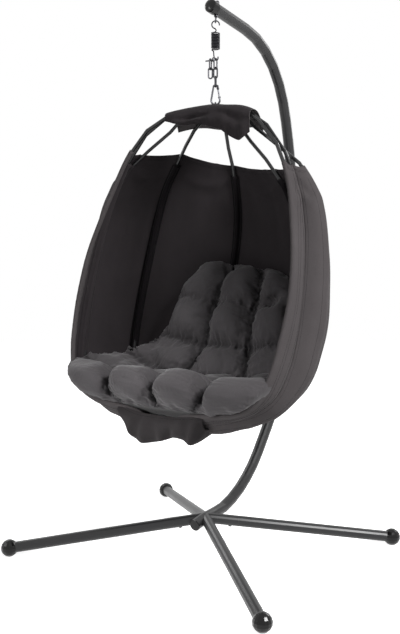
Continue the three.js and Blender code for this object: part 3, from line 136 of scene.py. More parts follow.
def clouds(material, place, scale, detail, **more):
    """Noise of about so many cycles per metre."""
    return add_node(material, "ShaderNodeTexNoise", Vector=place, Scale=scale, Detail=detail, **more).outputs["Fac"]


def between(material, share, low, high, **more):
    return add_node(material, "ShaderNodeMapRange", Value=share, To_Min=low, To_Max=high, **more).outputs["Result"]


def two_tone(material, share, first, second):
    mix = add_node(material, "ShaderNodeMix", {"data_type": "RGBA"}, Factor=share, A=first, B=second)
    return mix.outputs["Result"]


def bumps(material, height, strength, distance, **more):
    bump = add_node(material, "ShaderNodeBump", Height=height, Strength=strength, Distance=distance, **more)
    return bump.outputs["Normal"]


def new_material(name):
    material = bpy.data.materials.new(name)
    material.use_nodes = True
    material.node_tree.nodes.clear()
    return material


def finish_material(material, **sockets):
    shader = add_node(material, "ShaderNodeBsdfPrincipled", **sockets)
    add_node(material, "ShaderNodeOutputMaterial", Surface=shader.outputs[0])
    return material


# %% [markdown]
# ## Powder coat
#
# Powder coat is paint baked on as dust. Up close it has a shallow orange peel about a millimetre across, and it
# reflects softly. Object coordinates keep the peel at its real size on every tube.

# %% Powder-coated steel
def powder_coat(name, colour, worn_colour, roughness):
    material = new_material(name)
    place = own_place(material)
    wear = clouds(material, place, scale=6, detail=3)
    orange_peel = clouds(material, place, scale=850, detail=1)
    return finish_material(
        material, Base_Color=two_tone(material, wear, linear(colour), linear(worn_colour)),
        Roughness=between(material, wear, roughness - 0.06, roughness + 0.06),
        Normal=bumps(material, orange_peel, strength=0.1, distance=0.0003),
        Metallic=0.0, IOR=1.5, Specular_IOR_Level=0.38)


stand_coat = powder_coat("stand_powder_coat", "#262627", "#2d2d2e", 0.33)
rib_coat = powder_coat("rib_powder_coat", "#171718", "#1e1e1f", 0.32)

# %% [markdown]
# ## Moulded plastic
#
# The ball feet, the plug and the tip cap are injection-moulded in gloss black. A mould leaves them smooth, so only a
# very wide ripple and a few scuffs break up the reflection.

# %% Gloss plastic
def moulded_plastic(name, colour):
    material = new_material(name)
    place = own_place(material)
    mould_ripple = clouds(material, place, scale=45, detail=2)
    scuffs = clouds(material, place, scale=320, detail=4)
    return finish_material(
        material, Base_Color=linear(colour),
        Roughness=between(material, scuffs, 0.16, 0.3, From_Min=0.45, From_Max=0.75),
        Normal=bumps(material, mould_ripple, strength=0.05, distance=0.001), IOR=1.49, Specular_IOR_Level=0.3)


black_plastic = moulded_plastic("moulded_black_plastic", "#0c0c0c")

# %% [markdown]
# ## Plated steel
#
# Chain, carabiner and bolts are zinc-plated and dulled. Plating follows the wire's drawn surface, so its sheen has
# small cloudy patches.

# %% Plated steel and spring wire
def plated_steel(name, colour, dull_colour, roughness):
    material = new_material(name)
    place = own_place(material)
    patches = clouds(material, place, scale=120, detail=4)
    grain = clouds(material, place, scale=1500, detail=2)
    return finish_material(
        material, Base_Color=two_tone(material, patches, linear(colour), linear(dull_colour)),
        Roughness=between(material, patches, roughness - 0.1, roughness + 0.1),
        Normal=bumps(material, grain, strength=0.15, distance=0.0002), Metallic=1.0)


dark_steel = plated_steel("zinc_plated_steel", "#545457", "#434346", 0.38)
spring_steel = plated_steel("drawn_spring_wire", "#3e3e41", "#323235", 0.34)

finishes = {
    "stand_coat": stand_coat, "rib_coat": rib_coat, "black_plastic": black_plastic,
    "dark_steel": dark_steel, "spring_steel": spring_steel,
}
slot_of = {part["node"]: part["material_slot"] for part in frame["record"]["subparts"]}
for node_name, node in frame["nodes"].items():
    if slot_of[node_name] in finishes:
        node.data.materials.clear()
        node.data.materials.append(finishes[slot_of[node_name]])
print("finishes given to", sum(slot in finishes for slot in slot_of.values()), "CAD nodes")

# %% [markdown]
# ## Cloth
#
# The sling and its covers are woven polyester, plain weave. Its threads are about 0.35 mm apart, which is far below a
# pixel here, so the weave is drawn near 1.4 mm to show at all. The piece's own UV map runs in metres along the cloth,
# so the threads follow every panel. Thread tips catch light at a low angle, which the sheen on the shader's own socket
# gives.

# %% Woven polyester
BAND = 0.314  # between two bands of the wave node at a scale of 1


def woven_cloth(name, colour, faded_colour, sheen, thread=0.0014, coordinates="UV", painted_seam_shade=False):
    material = new_material(name)
    along_cloth, place = own_place(material, coordinates), own_place(material)
    # Warp and weft: two sine bands, whose product gives raised crossings
    warp, weft = (
        add_node(material, "ShaderNodeTexWave", {"bands_direction": direction, "wave_profile": "SIN"},
                 Vector=along_cloth, Scale=BAND / (2 * thread), Distortion=0.6, Detail=1.0, Detail_Scale=0.4)
        for direction in ("X", "Y"))
    crossings = calculate(material, "MULTIPLY", warp.outputs["Fac"], weft.outputs["Fac"])
    slubs = clouds(material, place, scale=260, detail=2)
    fading = clouds(material, place, scale=7, detail=5, Roughness=0.6)
    mottle = calculate(material, "MULTIPLY_ADD", slubs, 0.5, fading)
    tone = two_tone(material, between(material, mottle, 0, 1, From_Min=0.45, From_Max=1.05),
                    linear(colour), linear(faded_colour))
    if painted_seam_shade:
        # Painted shade: the cloth darkens near the seams, where shadow falls in the valleys between the puffs. The mesh
        # says how near each place is to one
        near = add_node(material, "ShaderNodeAttribute", {"attribute_name": "seam_nearness"})
        tone = two_tone(material, calculate(material, "MULTIPLY", near.outputs["Fac"], 0.9), tone, linear("#0d0c0d"))
    weave = bumps(material, crossings, strength=0.35, distance=0.0004)
    return finish_material(
        material, Base_Color=tone, Roughness=between(material, slubs, 0.78, 0.92),
        Normal=bumps(material, fading, strength=0.25, distance=0.004, Normal=weave),
        Sheen_Weight=sheen, Sheen_Roughness=0.5, Specular_IOR_Level=0.06)


sling_cloth = woven_cloth("woven_polyester_sling", "#4c4849", "#565253", 0.05)
# The same cloth for the sling's back and the covers' inner faces, made darker: painted shade for the inside of the
# basket
shaded_lining = woven_cloth("polyester_lining_painted_shade", "#322e30", "#383436", 0.06)
# Near black: painted shade on the rear and centre channels, deep inside the basket
shaded_channel_tape = woven_cloth("channel_tape_painted_shade", "#131113", "#1a1719", 0.05)
# Lighter than the sling's cloth: painted light for the light that falls on the hood from above
lit_cover_cloth = woven_cloth("woven_polyester_cover_painted_light", "#666263", "#6e6a6b", 0.1)
# Darker than the hood's cloth: painted shade for the pouch, which hangs in shade under the basket
shaded_pouch_cloth = woven_cloth("woven_polyester_pouch_painted_shade", "#353233", "#3c393a", 0.05)
# The cushion's cloth is darkened near its seams: painted shade for the valleys between its puffs
cushion_cloth = woven_cloth("brushed_polyester_cushion", "#4d4a4c", "#585557", 0.25, 0.0012, "Object", True)

# %% [markdown]
# ## Where the basket hangs
#
# The nine ribs are bent tubes, and the CAD model holds them. The cloth must follow them closely, so the same short
# table of rib points is repeated here, as shares of the basket's half width, depth and height. The crown plate's box
# says where the basket's own axes are.

# %% The basket's axes and its ribs
HALF_WIDTH, DEPTH, HEIGHT = 0.510, 0.400, 1.045
PLATE_FOOT = 0.0071  # from the ribs' axes up to the upper crown plate
plate_low, plate_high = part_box("crown_plate_upper")
crown = Vector(((plate_low[0] + plate_high[0]) / 2, (plate_low[1] + plate_high[1]) / 2, plate_low[2] - PLATE_FOOT))
keel_centre = Vector((0, -0.765 * DEPTH, -1.022 * HEIGHT))
KEEL_TILT = math.radians(33)
RING_RADII = [0.032, 0.039, 0.047]

# name: (angle at the crown, angle at the keel, the hem's share of its length, [x, back, down] points)
RIBS = {
    "front": (-38, -15, 0.22, [
        (0.216, -0.145, 0), (0.382, -0.215, 0.025), (0.49, -0.235, 0.063), (0.627, -0.255, 0.14),
        (0.735, -0.312, 0.255), (0.804, -0.403, 0.37), (0.855, -0.495, 0.484), (0.876, -0.585, 0.609),
        (0.863, -0.677, 0.724), (0.829, -0.755, 0.829), (0.767, -0.807, 0.906), (0.647, -0.825, 0.953),
        (0.392, -0.83, 0.98), (0.21, -0.825, 0.993)]),
    "second": (-11, 11, 0.235, [
        (0.22, -0.11, 0.002), (0.392, -0.175, 0.025), (0.5, -0.185, 0.063), (0.635, -0.2, 0.14),
        (0.755, -0.23, 0.255), (0.827, -0.285, 0.37), (0.863, -0.352, 0.484), (0.882, -0.435, 0.609),
        (0.886, -0.515, 0.724), (0.863, -0.595, 0.829), (0.804, -0.665, 0.906), (0.667, -0.728, 0.963),
        (0.392, -0.77, 1)]),
    "side": (16, 37, 0.25, [
        (0.235, -0.052, 0.006), (0.375, -0.09, 0.071), (0.492, -0.11, 0.11), (0.588, -0.13, 0.133),
        (0.671, -0.14, 0.164), (0.765, -0.147, 0.208), (0.902, -0.165, 0.316), (0.969, -0.215, 0.484),
        (0.99, -0.278, 0.609), (0.994, -0.328, 0.695), (0.975, -0.385, 0.779), (0.945, -0.445, 0.855),
        (0.882, -0.502, 0.912), (0.784, -0.565, 0.966), (0.588, -0.627, 1.01), (0.333, -0.7, 1.036)]),
    "rear": (45, 63.5, 0.17, [
        (0.147, 0.03, 0.028), (0.241, 0.02, 0.083), (0.304, 0.04, 0.121), (0.369, 0.068, 0.159),
        (0.506, 0.1, 0.255), (0.588, 0.115, 0.351), (0.635, 0.115, 0.427), (0.69, 0.095, 0.547),
        (0.741, 0.048, 0.705), (0.735, -0.028, 0.815), (0.667, -0.14, 0.899), (0.51, -0.315, 0.978),
        (0.294, -0.495, 1.039), (0.157, -0.6, 1.055)]),
    "centre": (90, 90, 0.158, [
        (0, 0.155, 0.025), (0, 0.172, 0.066), (0, 0.2, 0.105), (0, 0.278, 0.174), (0, 0.35, 0.294),
        (0, 0.362, 0.362), (0, 0.335, 0.454), (0, 0.295, 0.521), (0, 0.2, 0.66), (0, 0.072, 0.784),
        (0, -0.09, 0.889), (0, -0.315, 0.989), (0, -0.515, 1.044), (0, -0.61, 1.056)]),
}


def pod_point(x, back, down):
    return crown + Vector((x * HALF_WIDTH, back * DEPTH, -down * HEIGHT))


def ring_point(angle, radius):
    return Vector((math.cos(math.radians(angle)) * radius, math.sin(math.radians(angle)) * radius, 0))


def keel_point(angle, radius):
    return crown + keel_centre + Matrix.Rotation(-KEEL_TILT, 3, "X") @ ring_point(angle, radius)


def smooth_curve(points, steps=16):
    """A centripetal Catmull-Rom curve: the rule that bends the CAD ribs."""
    ends = [points[0] * 2 - points[1], *points, points[-1] * 2 - points[-2]]
    curve = []
    for p0, p1, p2, p3 in zip(ends, ends[1:], ends[2:], ends[3:]):
        t0, t1, t2 = ((b - a).length ** 0.5 for a, b in ((p0, p1), (p1, p2), (p2, p3)))
        m1 = ((p1 - p0) / t0 - (p2 - p0) / (t0 + t1) + (p2 - p1) / t1) * t1
        m2 = ((p2 - p1) / t1 - (p3 - p1) / (t1 + t2) + (p3 - p2) / t2) * t1
        for t in (k / steps for k in range(steps)):
            curve.append(p1 + m1 * t + (3 * (p2 - p1) - 2 * m1 - m2) * t ** 2 + (2 * (p1 - p2) + m1 + m2) * t ** 3)
    return [*curve, points[-1]]


class Line:
    """A curve that is read by the share of its length."""

    def __init__(self, points):
        self.points = points
        self.marks = [0.0]
        for a, b in zip(points, points[1:]):
            self.marks.append(self.marks[-1] + (b - a).length)
        self.length = self.marks[-1]

    def at(self, share):
        target = min(max(share, 0), 1) * self.length
        i = min(bisect.bisect_right(self.marks, target), len(self.points) - 1)
        t = (target - self.marks[i - 1]) / (self.marks[i] - self.marks[i - 1])
        return self.points[i - 1].lerp(self.points[i], t)

    def direction(self, share, reach=0.004):
        return (self.at(share + reach) - self.at(share - reach)).normalized()


def rib_line(name, side):
    crown_angle, keel_angle, _, shares = RIBS[name]
    points = [crown + ring_point(crown_angle, r) for r in RING_RADII]
    points += [pod_point(*share) for share in shares]
    points += [keel_point(keel_angle, r) for r in reversed(RING_RADII)]
    return Line(smooth_curve([Vector((side * p.x, p.y, p.z)) for p in points]))


# Round the basket from its right front edge over the back to its left front edge
ORDER = [("front", 1), ("second", 1), ("side", 1), ("rear", 1), ("centre", 1), ("rear", -1), ("side", -1),
         ("second", -1), ("front", -1)]
rib_lines = [rib_line(*rib) for rib in ORDER]
print("rib lengths:", [round(line.length, 3) for line in rib_lines])

# %% [markdown]
# ## Sling
#
# The sling is one bag, sewn from panels that meet at the ribs. It is under tension: over a rib it turns on the
# tube's radius, and between ribs it is almost flat, with a slight belly. A simulation would have to find all that
# again, so the sheet is laid by rule instead: each row crosses all nine ribs, and small sags, hanging folds and
# creases are added along the cloth's own normal. At the two front ribs the cloth goes round the tube and is sewn back
# on itself as a sleeve.

# %% Sling: its rule
RIB_RADIUS = 0.0065
CLOTH = 0.0012
OVER_RIB = RIB_RADIUS + 0.0008  # from a rib's axis to the cloth that lies on it
HEM_DROP = [0.200, 0.208, 0.216, 0.208, 0.180, 0.139, 0.140, 0.131, 0.124]  # below the crown, at each rib
FOOT_SHARE = 0.96  # of the way from the CAD hem down to the keel
BELLY = 0.02  # of a panel's width
ROUNDING = [0, 0.95, 0.6, 0.3, 0.25, 0.3, 0.6, 0.95, 0]  # at each rib: 1 leaves no crease in the cloth
HEM_SAG = 0.010
LINE_STEPS = 400

# Folds and creases: how high they stand, how many there are to a metre across and to the sling's height, and how wide
WAVE_HEIGHT, WAVES_ACROSS, WAVES_DOWN = 0.0060, 7, 3.1
RUMPLE_HEIGHT, RUMPLES_ACROSS, RUMPLES_DOWN = 0.0040, 26, 2.4
CRUMPLE_START, CRUMPLE_HEIGHT, CRUMPLES_ACROSS, CRUMPLES_DOWN, CRUMPLE_SLANT = 0.45, 0.0110, 13, 17, 9
CREASED_PANELS = (3, 4)
CREASE_HEIGHT, CREASE_WIDTH, CREASE_START, CREASE_SLANT, CREASE_FOOT = 0.0032, 0.035, 0.32, 0.42, 0.8
SWAG_TOP, SWAG_SAG = 0.035, 0.05  # where a swag hangs at the ribs, and how much lower in the panel's middle
SWAG_DEPTH, SWAG_WIDTH, ROLL_HEIGHT, ROLL_WIDTH, ROLL_BELOW = 0.0045, 0.014, 0.003, 0.018, 0.035


def share_at_drop(line, drop):
    return next(k / LINE_STEPS for k in range(LINE_STEPS) if crown.z - line.at(k / LINE_STEPS).z >= drop)


hem_shares = [share_at_drop(line, drop) for line, drop in zip(rib_lines, HEM_DROP)]
foot_shares = [RIBS[name][2] + (1 - RIBS[name][2]) * FOOT_SHARE for name, _ in ORDER]


def rib_share(k, v):
    return hem_shares[k] + (foot_shares[k] - hem_shares[k]) * v


def rib_place(k, v):
    return rib_lines[k].at(rib_share(k, v))


def rib_direction(k, v):
    return rib_lines[k].direction(rib_share(k, v))


def panel_width(panel, v):
    return (rib_place(panel + 1, v) - rib_place(panel, v)).length


def ripple(x, y, seed):
    """Smooth noise about one unit from crest to crest."""
    return noise.noise(Vector((x, y, seed * 7.31)))


def ridge(distance, width):
    return math.exp(-(distance / width) ** 2)


def folds(panel, t, v, width):
    """How far the cloth stands out from its plain belly, in metres."""
    arch = 4 * t * (1 - t)
    across = t * width
    height = WAVE_HEIGHT * ripple(across * WAVES_ACROSS, v * WAVES_DOWN, panel)
    height += RUMPLE_HEIGHT * ripple(across * RUMPLES_ACROSS, v * RUMPLES_DOWN, panel + 11) * (1 - 0.5 * v)
    # Crumples low down, where the bag is pulled under the seat
    low = max(0, v - CRUMPLE_START) / (1 - CRUMPLE_START)
    height += CRUMPLE_HEIGHT * ripple(across * CRUMPLES_ACROSS + v * CRUMPLE_SLANT, v * CRUMPLES_DOWN, panel + 23) * low
    # A long crease runs down from each rear panel's hem towards the side
    crease = t - CREASE_START - CREASE_SLANT * v
    height += CREASE_HEIGHT * ridge(crease, CREASE_WIDTH) * max(0, 1 - v / CREASE_FOOT) * (panel in CREASED_PANELS)
    # Swags: shallow pleats that hang in arcs just below the hem, each with a roll under it
    swag = v - SWAG_TOP - SWAG_SAG * arch
    height -= SWAG_DEPTH * ridge(swag, SWAG_WIDTH) * arch
    height += ROLL_HEIGHT * ridge(swag - ROLL_BELOW, ROLL_WIDTH) * arch
    return height * min(1, 3 * arch)


@functools.lru_cache(maxsize=None)
def turns(v):
    """At each rib, half the angle by which the cloth turns there, as a slope."""
    places = [rib_place(k, v) for k in range(len(rib_lines))]
    slopes = [0.0]
    for before, here, after in zip(places, places[1:], places[2:]):
        slopes.append(math.tan((here - before).angle(after - here) / 2))
    return [*slopes, 0.0]


def sling_point(panel, t, v):
    """A place on the sling's inner face, and the outward normal of the plain panel there."""
    arch = 4 * t * (1 - t)
    v_sagged = v + HEM_SAG * arch * (1 - v) ** 6
    a, b = rib_place(panel, v_sagged), rib_place(panel + 1, v_sagged)
    across = b - a
    normal_a = rib_direction(panel, v_sagged).cross(across).normalized()
    normal_b = rib_direction(panel + 1, v_sagged).cross(across).normalized()
    normal = normal_a.lerp(normal_b, t).normalized()
    width = across.length
    bend_a, bend_b = (ROUNDING[k] * turns(v)[k] for k in (panel, panel + 1))
    rounding = bend_a * t * (1 - t) ** 2 + bend_b * t ** 2 * (1 - t)
    out = OVER_RIB + (arch * BELLY + rounding) * width + folds(panel, t, v, width)
    return a.lerp(b, t) + normal * out, normal


SLEEVE_TURN = 205  # degrees round a front rib, from the outside over the front to the inside
SLEEVE_STEPS = 11
FLAP_REACHES = [0.030, 0.024, 0.019]  # from the rib's axis to each point of the sleeve's sewn flap
FLAP_GAP = 0.0012
PUCKER, PUCKERS = 0.0007, 210  # at the flap's free edge: how high, and how quick along it
SLEEVE_WAVE, SLEEVE_RUMPLE, SLEEVE_RUMPLES = 0.0009, 0.0005, 260  # round the tube: broad waves, and quick ones


def sleeve_points(end, v):
    """From the flap's free edge to the rib's outside, at the right end (0) or the left end (8) of a row."""
    panel, t, neighbour = (0, 0, 1) if end == 0 else (7, 1, 7)
    centre = rib_place(end, v)
    _, outward = sling_point(panel, t, v)
    along = rib_direction(end, v)
    inward = rib_place(neighbour, v) - centre
    inward = (inward - along * inward.dot(along)).normalized()
    points = []
    for reach in FLAP_REACHES:
        s = reach / panel_width(0, v)
        place, normal = sling_point(panel, s if end == 0 else 1 - s, v)
        pucker = PUCKER * math.sin(v * PUCKERS + 3 * ripple(v * 30, reach * 90, end))
        points.append(place - normal * (FLAP_GAP + pucker * (reach == FLAP_REACHES[0])))
    for k in range(SLEEVE_STEPS):
        angle = math.radians(SLEEVE_TURN) * (1 - k / (SLEEVE_STEPS - 1))
        wander = SLEEVE_WAVE * ripple(v * 26, angle * 0.8, end + 40)
        wander += SLEEVE_RUMPLE * math.sin(v * SLEEVE_RUMPLES + 5 * ripple(v * 20, 1, end))
        radius = OVER_RIB + max(0, wander) * math.sin(min(angle, math.pi))
        points.append(centre + outward * radius * math.cos(angle) - inward * radius * math.sin(angle))
    return points


COLUMNS = [5, 8, 16, 18, 18, 16, 8, 5]  # between each pair of ribs
ROWS = 110


def sling_row(v):
    row = sleeve_points(0, v)
    for panel, inner in enumerate(COLUMNS):
        if panel > 0:
            # Over a rib the cloth turns from one panel's normal to the next one's
            before, before_normal = sling_point(panel - 1, 1, v)
            after, after_normal = sling_point(panel, 0, v)
            middle = (before_normal + after_normal).normalized()
            row += [before, rib_place(panel, v) + middle * OVER_RIB, after]
        row += [sling_point(panel, k / (inner + 1), v)[0] for k in range(1, inner + 1)]
    return row + list(reversed(sleeve_points(8, v)))


def run(places):
    return sum((b - a).length for a, b in zip(places, places[1:]))


def sheet_mesh(name, rows):
    """A mesh from a grid of places, with its own UV map in metres along the cloth, its longest row and its longest
    column."""
    bm = bmesh.new()
    grid = [[bm.verts.new(place) for place in row] for row in rows]
    uv_layer = bm.loops.layers.uv.new("cloth")
    middle = rows[len(rows) // 2]
    across = [0.0]
    for a, b in zip(middle, middle[1:]):
        across.append(across[-1] + (b - a).length)
    down = [0.0]
    for above, below in zip(rows, rows[1:]):
        down.append(down[-1] + sum((b - a).length for a, b in zip(above, below)) / len(above))
    for i in range(len(rows) - 1):
        for j in range(len(middle) - 1):
            corners = [(i, j), (i + 1, j), (i + 1, j + 1), (i, j + 1)]
            face = bm.faces.new([grid[r][c] for r, c in corners])
            face.smooth = True
            for loop, (r, c) in zip(face.loops, corners):
                loop[uv_layer].uv = (across[c], down[r])
    mesh = bpy.data.meshes.new(name)
    bm.to_mesh(mesh)
    bm.free()
    return mesh, max(map(run, rows)), max(map(run, zip(*rows)))


def cloth_piece(name, rows, outer_material, inner_material, thickness=CLOTH):
    """A sheet with a wall: its back, where the grid lies, has one finish and its face another."""
    mesh, width, length = sheet_mesh(name, rows)
    mesh.materials.append(outer_material)
    mesh.materials.append(inner_material)
    piece = add_object(name, mesh)
    wall = piece.modifiers.new("wall", "SOLIDIFY")
    wall.thickness = thickness
    wall.offset = 1
    wall.material_offset = 1
    return piece, width, length


def sheet_area(piece):
    """The laid cloth's own area, without its wall."""
    return sum(face.area for face in piece.data.polygons)


# %% Sling: the sheet
sling_rows = [sling_row(i / ROWS) for i in range(ROWS + 1)]
sling, sling_width, sling_length = cloth_piece("sling_cloth", sling_rows, sling_cloth, shaded_lining)
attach(sling, "pod")
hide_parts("sling")
print(f"sling {sling_width:.2f} x {sling_length:.2f} m, {len(sling.data.polygons)} faces")

# %% [markdown]
# ## Rib channels
#
# A sling that only lay on the ribs would slide up them. So each inner rib runs in a channel: a tape of the same cloth,
# laid over the tube from the inside and sewn to the sling along both of its edges. It starts three or four centimetres
# below the hem, where the rib is pushed in, and its mouth stands open a little.

# %% Channels: one tape for each of the seven inner ribs
CHANNEL_REACHES = [0.0160, 0.0140, 0.0120, 0.0094]  # from the rib's axis to each point of the flat flange
CHANNEL_TOP, CHANNEL_FOOT = 0.036, 0.985  # shares of the sling's height
CHANNEL_ROWS = 120
TAPE = 0.0007
MOUTH_LENGTH, MOUTH_OPENING = 0.03, 0.004
FLANGE_GAP, FLANGE_RISE = 0.0016, 0.0006  # off the sling, and how much further at each point towards the rib
FLANGE_PUCKER, FLANGE_PUCKERS = 0.0006, 190  # at its free edge: how high, and how quick along it
OVER_TUBE_WAVE = 0.0004
OVER_TUBE_STEPS, OVER_TUBE_TURN = 4, 20  # on each side of the tube's top, and how many degrees each turns


def channel_row(k, v):
    """Across the tape on rib k: flat flange, over the tube on its inner side, flat flange."""
    centre = rib_place(k, v)
    mouth = max(0, 1 - (v - CHANNEL_TOP) / MOUTH_LENGTH) ** 2
    flanges = []
    for panel, edge in ((k - 1, 1), (k, 0)):
        points = []
        for i, reach in enumerate(CHANNEL_REACHES):
            place, normal = sling_point(panel, abs(edge - reach / panel_width(panel, v)), v)
            pucker = FLANGE_PUCKER * math.sin(v * FLANGE_PUCKERS + 4 * ripple(v * 24, reach * 60, k))
            pucker *= 1 - i / len(CHANNEL_REACHES)
            points.append(place - normal * (FLANGE_GAP + pucker + FLANGE_RISE * i))
        flanges.append(points)
    _, before = sling_point(k - 1, 1, v)
    _, after = sling_point(k, 0, v)
    outward = (before + after).normalized()
    sideways = rib_direction(k, v).cross(outward).normalized()
    if sideways.dot(flanges[1][0] - flanges[0][0]) < 0:
        sideways = -sideways
    over = []
    for step in range(-OVER_TUBE_STEPS, OVER_TUBE_STEPS + 1):
        angle = math.radians(OVER_TUBE_TURN * step)
        radius = OVER_RIB + CLOTH + MOUTH_OPENING * mouth * math.cos(angle)
        radius += OVER_TUBE_WAVE * ripple(v * 30, step * 0.7, k + 60)
        over.append(centre + (sideways * math.sin(angle) - outward * math.cos(angle)) * radius)
    return flanges[0] + over + list(reversed(flanges[1]))


channels = []
for k in range(1, 8):
    name, side = ORDER[k]
    rib_name = name if name == "centre" else f"{name}_{'right' if side > 0 else 'left'}"
    heights = [CHANNEL_FOOT + (CHANNEL_TOP - CHANNEL_FOOT) * i / CHANNEL_ROWS for i in range(CHANNEL_ROWS + 1)]
    # Rear and centre channels take the near-black tape, the others the darker lining: both are painted shade
    tape = shaded_channel_tape if name in ("rear", "centre") else shaded_lining
    channel, channel_width, channel_length = cloth_piece(
        f"channel_{rib_name}", [channel_row(k, v) for v in heights], tape, tape, TAPE)
    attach(channel, "pod")
    channels.append(channel)
print("channels:", [round(sheet_area(channel), 3) for channel in channels], "square metres")

# %% [markdown]
# ## Hood
#
# A loose cloth hood lies over the crown plates and the ribs' upper ends. It is a rectangle with a seam down its
# middle, pinched to a point at one end and open at the other. Its shape is irregular, so it is lofted: seven profiles
# from the front hem over the crest to the back hem, and a smooth curve through them from end to end.

# %% Hood
HOOD_PROFILES = [  # x, then [back, up] from the front hem over the crest to the back hem, all in decimetres
    (-1.58, [(-0.84, -0.30), (-0.89, -0.20), (-0.88, -0.06), (-0.80, 0.01), (-0.68, 0.03), (-0.52, 0.01),
             (-0.38, -0.06), (-0.27, -0.20), (-0.18, -0.42), (-0.12, -0.62)]),
    (-1.20, [(-0.88, -0.40), (-0.94, -0.29), (-0.92, -0.10), (-0.81, 0.05), (-0.64, 0.10), (-0.42, 0.09), (-0.22, 0.00),
             (-0.02, -0.16), (0.14, -0.28), (0.24, -0.44)]),
    (-0.50, [(-0.84, -0.47), (-0.93, -0.32), (-0.91, -0.10), (-0.79, 0.10), (-0.52, 0.19), (-0.12, 0.20), (0.25, 0.14),
             (0.50, -0.02), (0.64, -0.26), (0.74, -0.47)]),
    (0.25, [(-0.86, -0.55), (-0.95, -0.34), (-0.92, -0.10), (-0.80, 0.11), (-0.52, 0.20), (-0.05, 0.21), (0.38, 0.15),
            (0.64, -0.02), (0.78, -0.28), (0.86, -0.50)]),
    (0.86, [(-0.92, -0.76), (-1.00, -0.46), (-0.97, -0.14), (-0.84, 0.07), (-0.55, 0.14), (-0.15, 0.14), (0.16, 0.07),
            (0.38, -0.10), (0.52, -0.32), (0.60, -0.54)]),
    (1.57, [(-0.97, -1.17), (-1.05, -0.74), (-1.03, -0.30), (-0.92, -0.05), (-0.72, 0.03), (-0.48, 0.01),
            (-0.28, -0.08), (-0.14, -0.24), (-0.06, -0.42), (0.00, -0.62)]),
    (2.10, [(-0.95, -0.92), (-1.02, -0.66), (-1.05, -0.42), (-0.98, -0.22), (-0.82, -0.15), (-0.62, -0.17),
            (-0.46, -0.25), (-0.32, -0.42), (-0.22, -0.62), (-0.16, -0.84)]),
]
HOOD_PROFILES = [(x, [Vector(point) for point in profile]) for x, profile in HOOD_PROFILES]
DECIMETRE = 0.1
HOOD_SEAM, HOOD_SEAM_WIDTH = 0.25, 0.05  # x of the middle seam, and how far off it the cloth is pulled in
HOOD_SEAM_PULL, HOOD_SEAM_DROP = 0.025, 0.02  # at the hems, and along the crest
HOOD_WAVE, HOOD_RUMPLE, HOOD_LIFT = 0.10, 0.05, 0.05  # wide waves, smaller ones and the crest's ups and downs
# Folds in the front: x, how far over from the front hem, how that changes with x, how wide, how deep
HOOD_FOLDS = [(-0.35, 0.17, 0.03, 0.035, 0.13), (1.35, 0.22, -0.02, 0.04, 0.10)]
HOOD_FOLD_REACH = 0.6  # along x


def spline_value(values, place):
    """A smooth value between the entries of a list of numbers or vectors."""
    i = min(int(place), len(values) - 2)
    t = place - i
    a, b, c, d = (values[min(max(k, 0), len(values) - 1)] for k in (i - 1, i, i + 1, i + 2))
    return b + (c - a + (2 * a - 5 * b + 4 * c - d + (3 * (b - c) + d - a) * t) * t) * t * 0.5


def hood_point(along, over):
    """along runs from end to end and over from the front hem to the back hem, both from 0 to 1."""
    columns = [Vector((x, 0, 0)) + Vector((0, *spline_value(profile, over * (len(profile) - 1))))
               for x, profile in HOOD_PROFILES]
    point = spline_value(columns, along * (len(HOOD_PROFILES) - 1))
    crest = math.sin(math.pi * over)
    skirt = (1 - crest) ** 1.5
    # Loose cloth: wide waves that grow towards the hems, and a fold over the ribs on each side
    waves = HOOD_WAVE * ripple(point.x * 1.3, over * 2, 3) + HOOD_RUMPLE * ripple(point.x * 3.4, over * 3, 5)
    point.y += waves * (0.35 + skirt)
    point.z += HOOD_LIFT * ripple(point.x * 1.9, over * 4, 9) * (0.3 + skirt)
    for x, start, slant, width, depth in HOOD_FOLDS:
        point.y += depth * ridge(over - start - slant * point.x, width) * ridge(point.x - x, HOOD_FOLD_REACH)
    seam = ridge(point.x - HOOD_SEAM, HOOD_SEAM_WIDTH)
    point.y += HOOD_SEAM_PULL * seam * (1 if over < 0.5 else -1) * (1 - crest)
    point.z -= HOOD_SEAM_DROP * seam * crest
    return crown + point * DECIMETRE


def lofted(rule, rows, columns):
    """A grid of places on a loft, each row from the left end to the right one."""
    return [[rule(1 - j / columns, i / rows) for j in range(columns + 1)] for i in range(rows, -1, -1)]


hood, hood_width, hood_length = cloth_piece("crown_hood", lofted(hood_point, 72, 110), lit_cover_cloth, shaded_lining)
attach(hood, "pod")
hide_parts("top_cover")
print(f"hood {hood_width:.2f} x {hood_length:.2f} m")

# %% [markdown]
# ## Keel pouch
#
# The same loose cloth hides the plates where the ribs meet below. It hangs as a pouch with two lobes. It is lofted as
# well: at each place from left to right a profile runs from the front sleeve down to the lowest fold and back up to
# the sling.

# %% Keel pouch
POUCH_COLUMNS = [  # x, then heights below the crown at the front edge, at the lowest fold and at the rear edge
    (-0.174, 1.022, 1.052, 1.072), (-0.142, 1.028, 1.098, 1.094), (-0.111, 1.033, 1.130, 1.107),
    (-0.080, 1.037, 1.142, 1.114), (-0.050, 1.039, 1.141, 1.119), (0.000, 1.040, 1.129, 1.122),
    (0.040, 1.040, 1.116, 1.121), (0.071, 1.039, 1.107, 1.117), (0.102, 1.036, 1.113, 1.111),
    (0.133, 1.032, 1.124, 1.104), (0.160, 1.028, 1.104, 1.093), (0.186, 1.022, 1.070, 1.072),
]
POUCH_COLUMNS = [Vector(column) for column in POUCH_COLUMNS]
POUCH_BACKS = [-0.343, -0.360, -0.356, -0.336, -0.300, -0.262, -0.226]
FAN_HEIGHT, FANS, FAN_RUMPLE = 0.006, 95, 0.004
FAN_SHARE = 0.8  # of the folds that shows, where the pouch hangs free
POUCH_RUMPLE = 0.002
END_SETBACK = 0.02  # how far back both ends are drawn


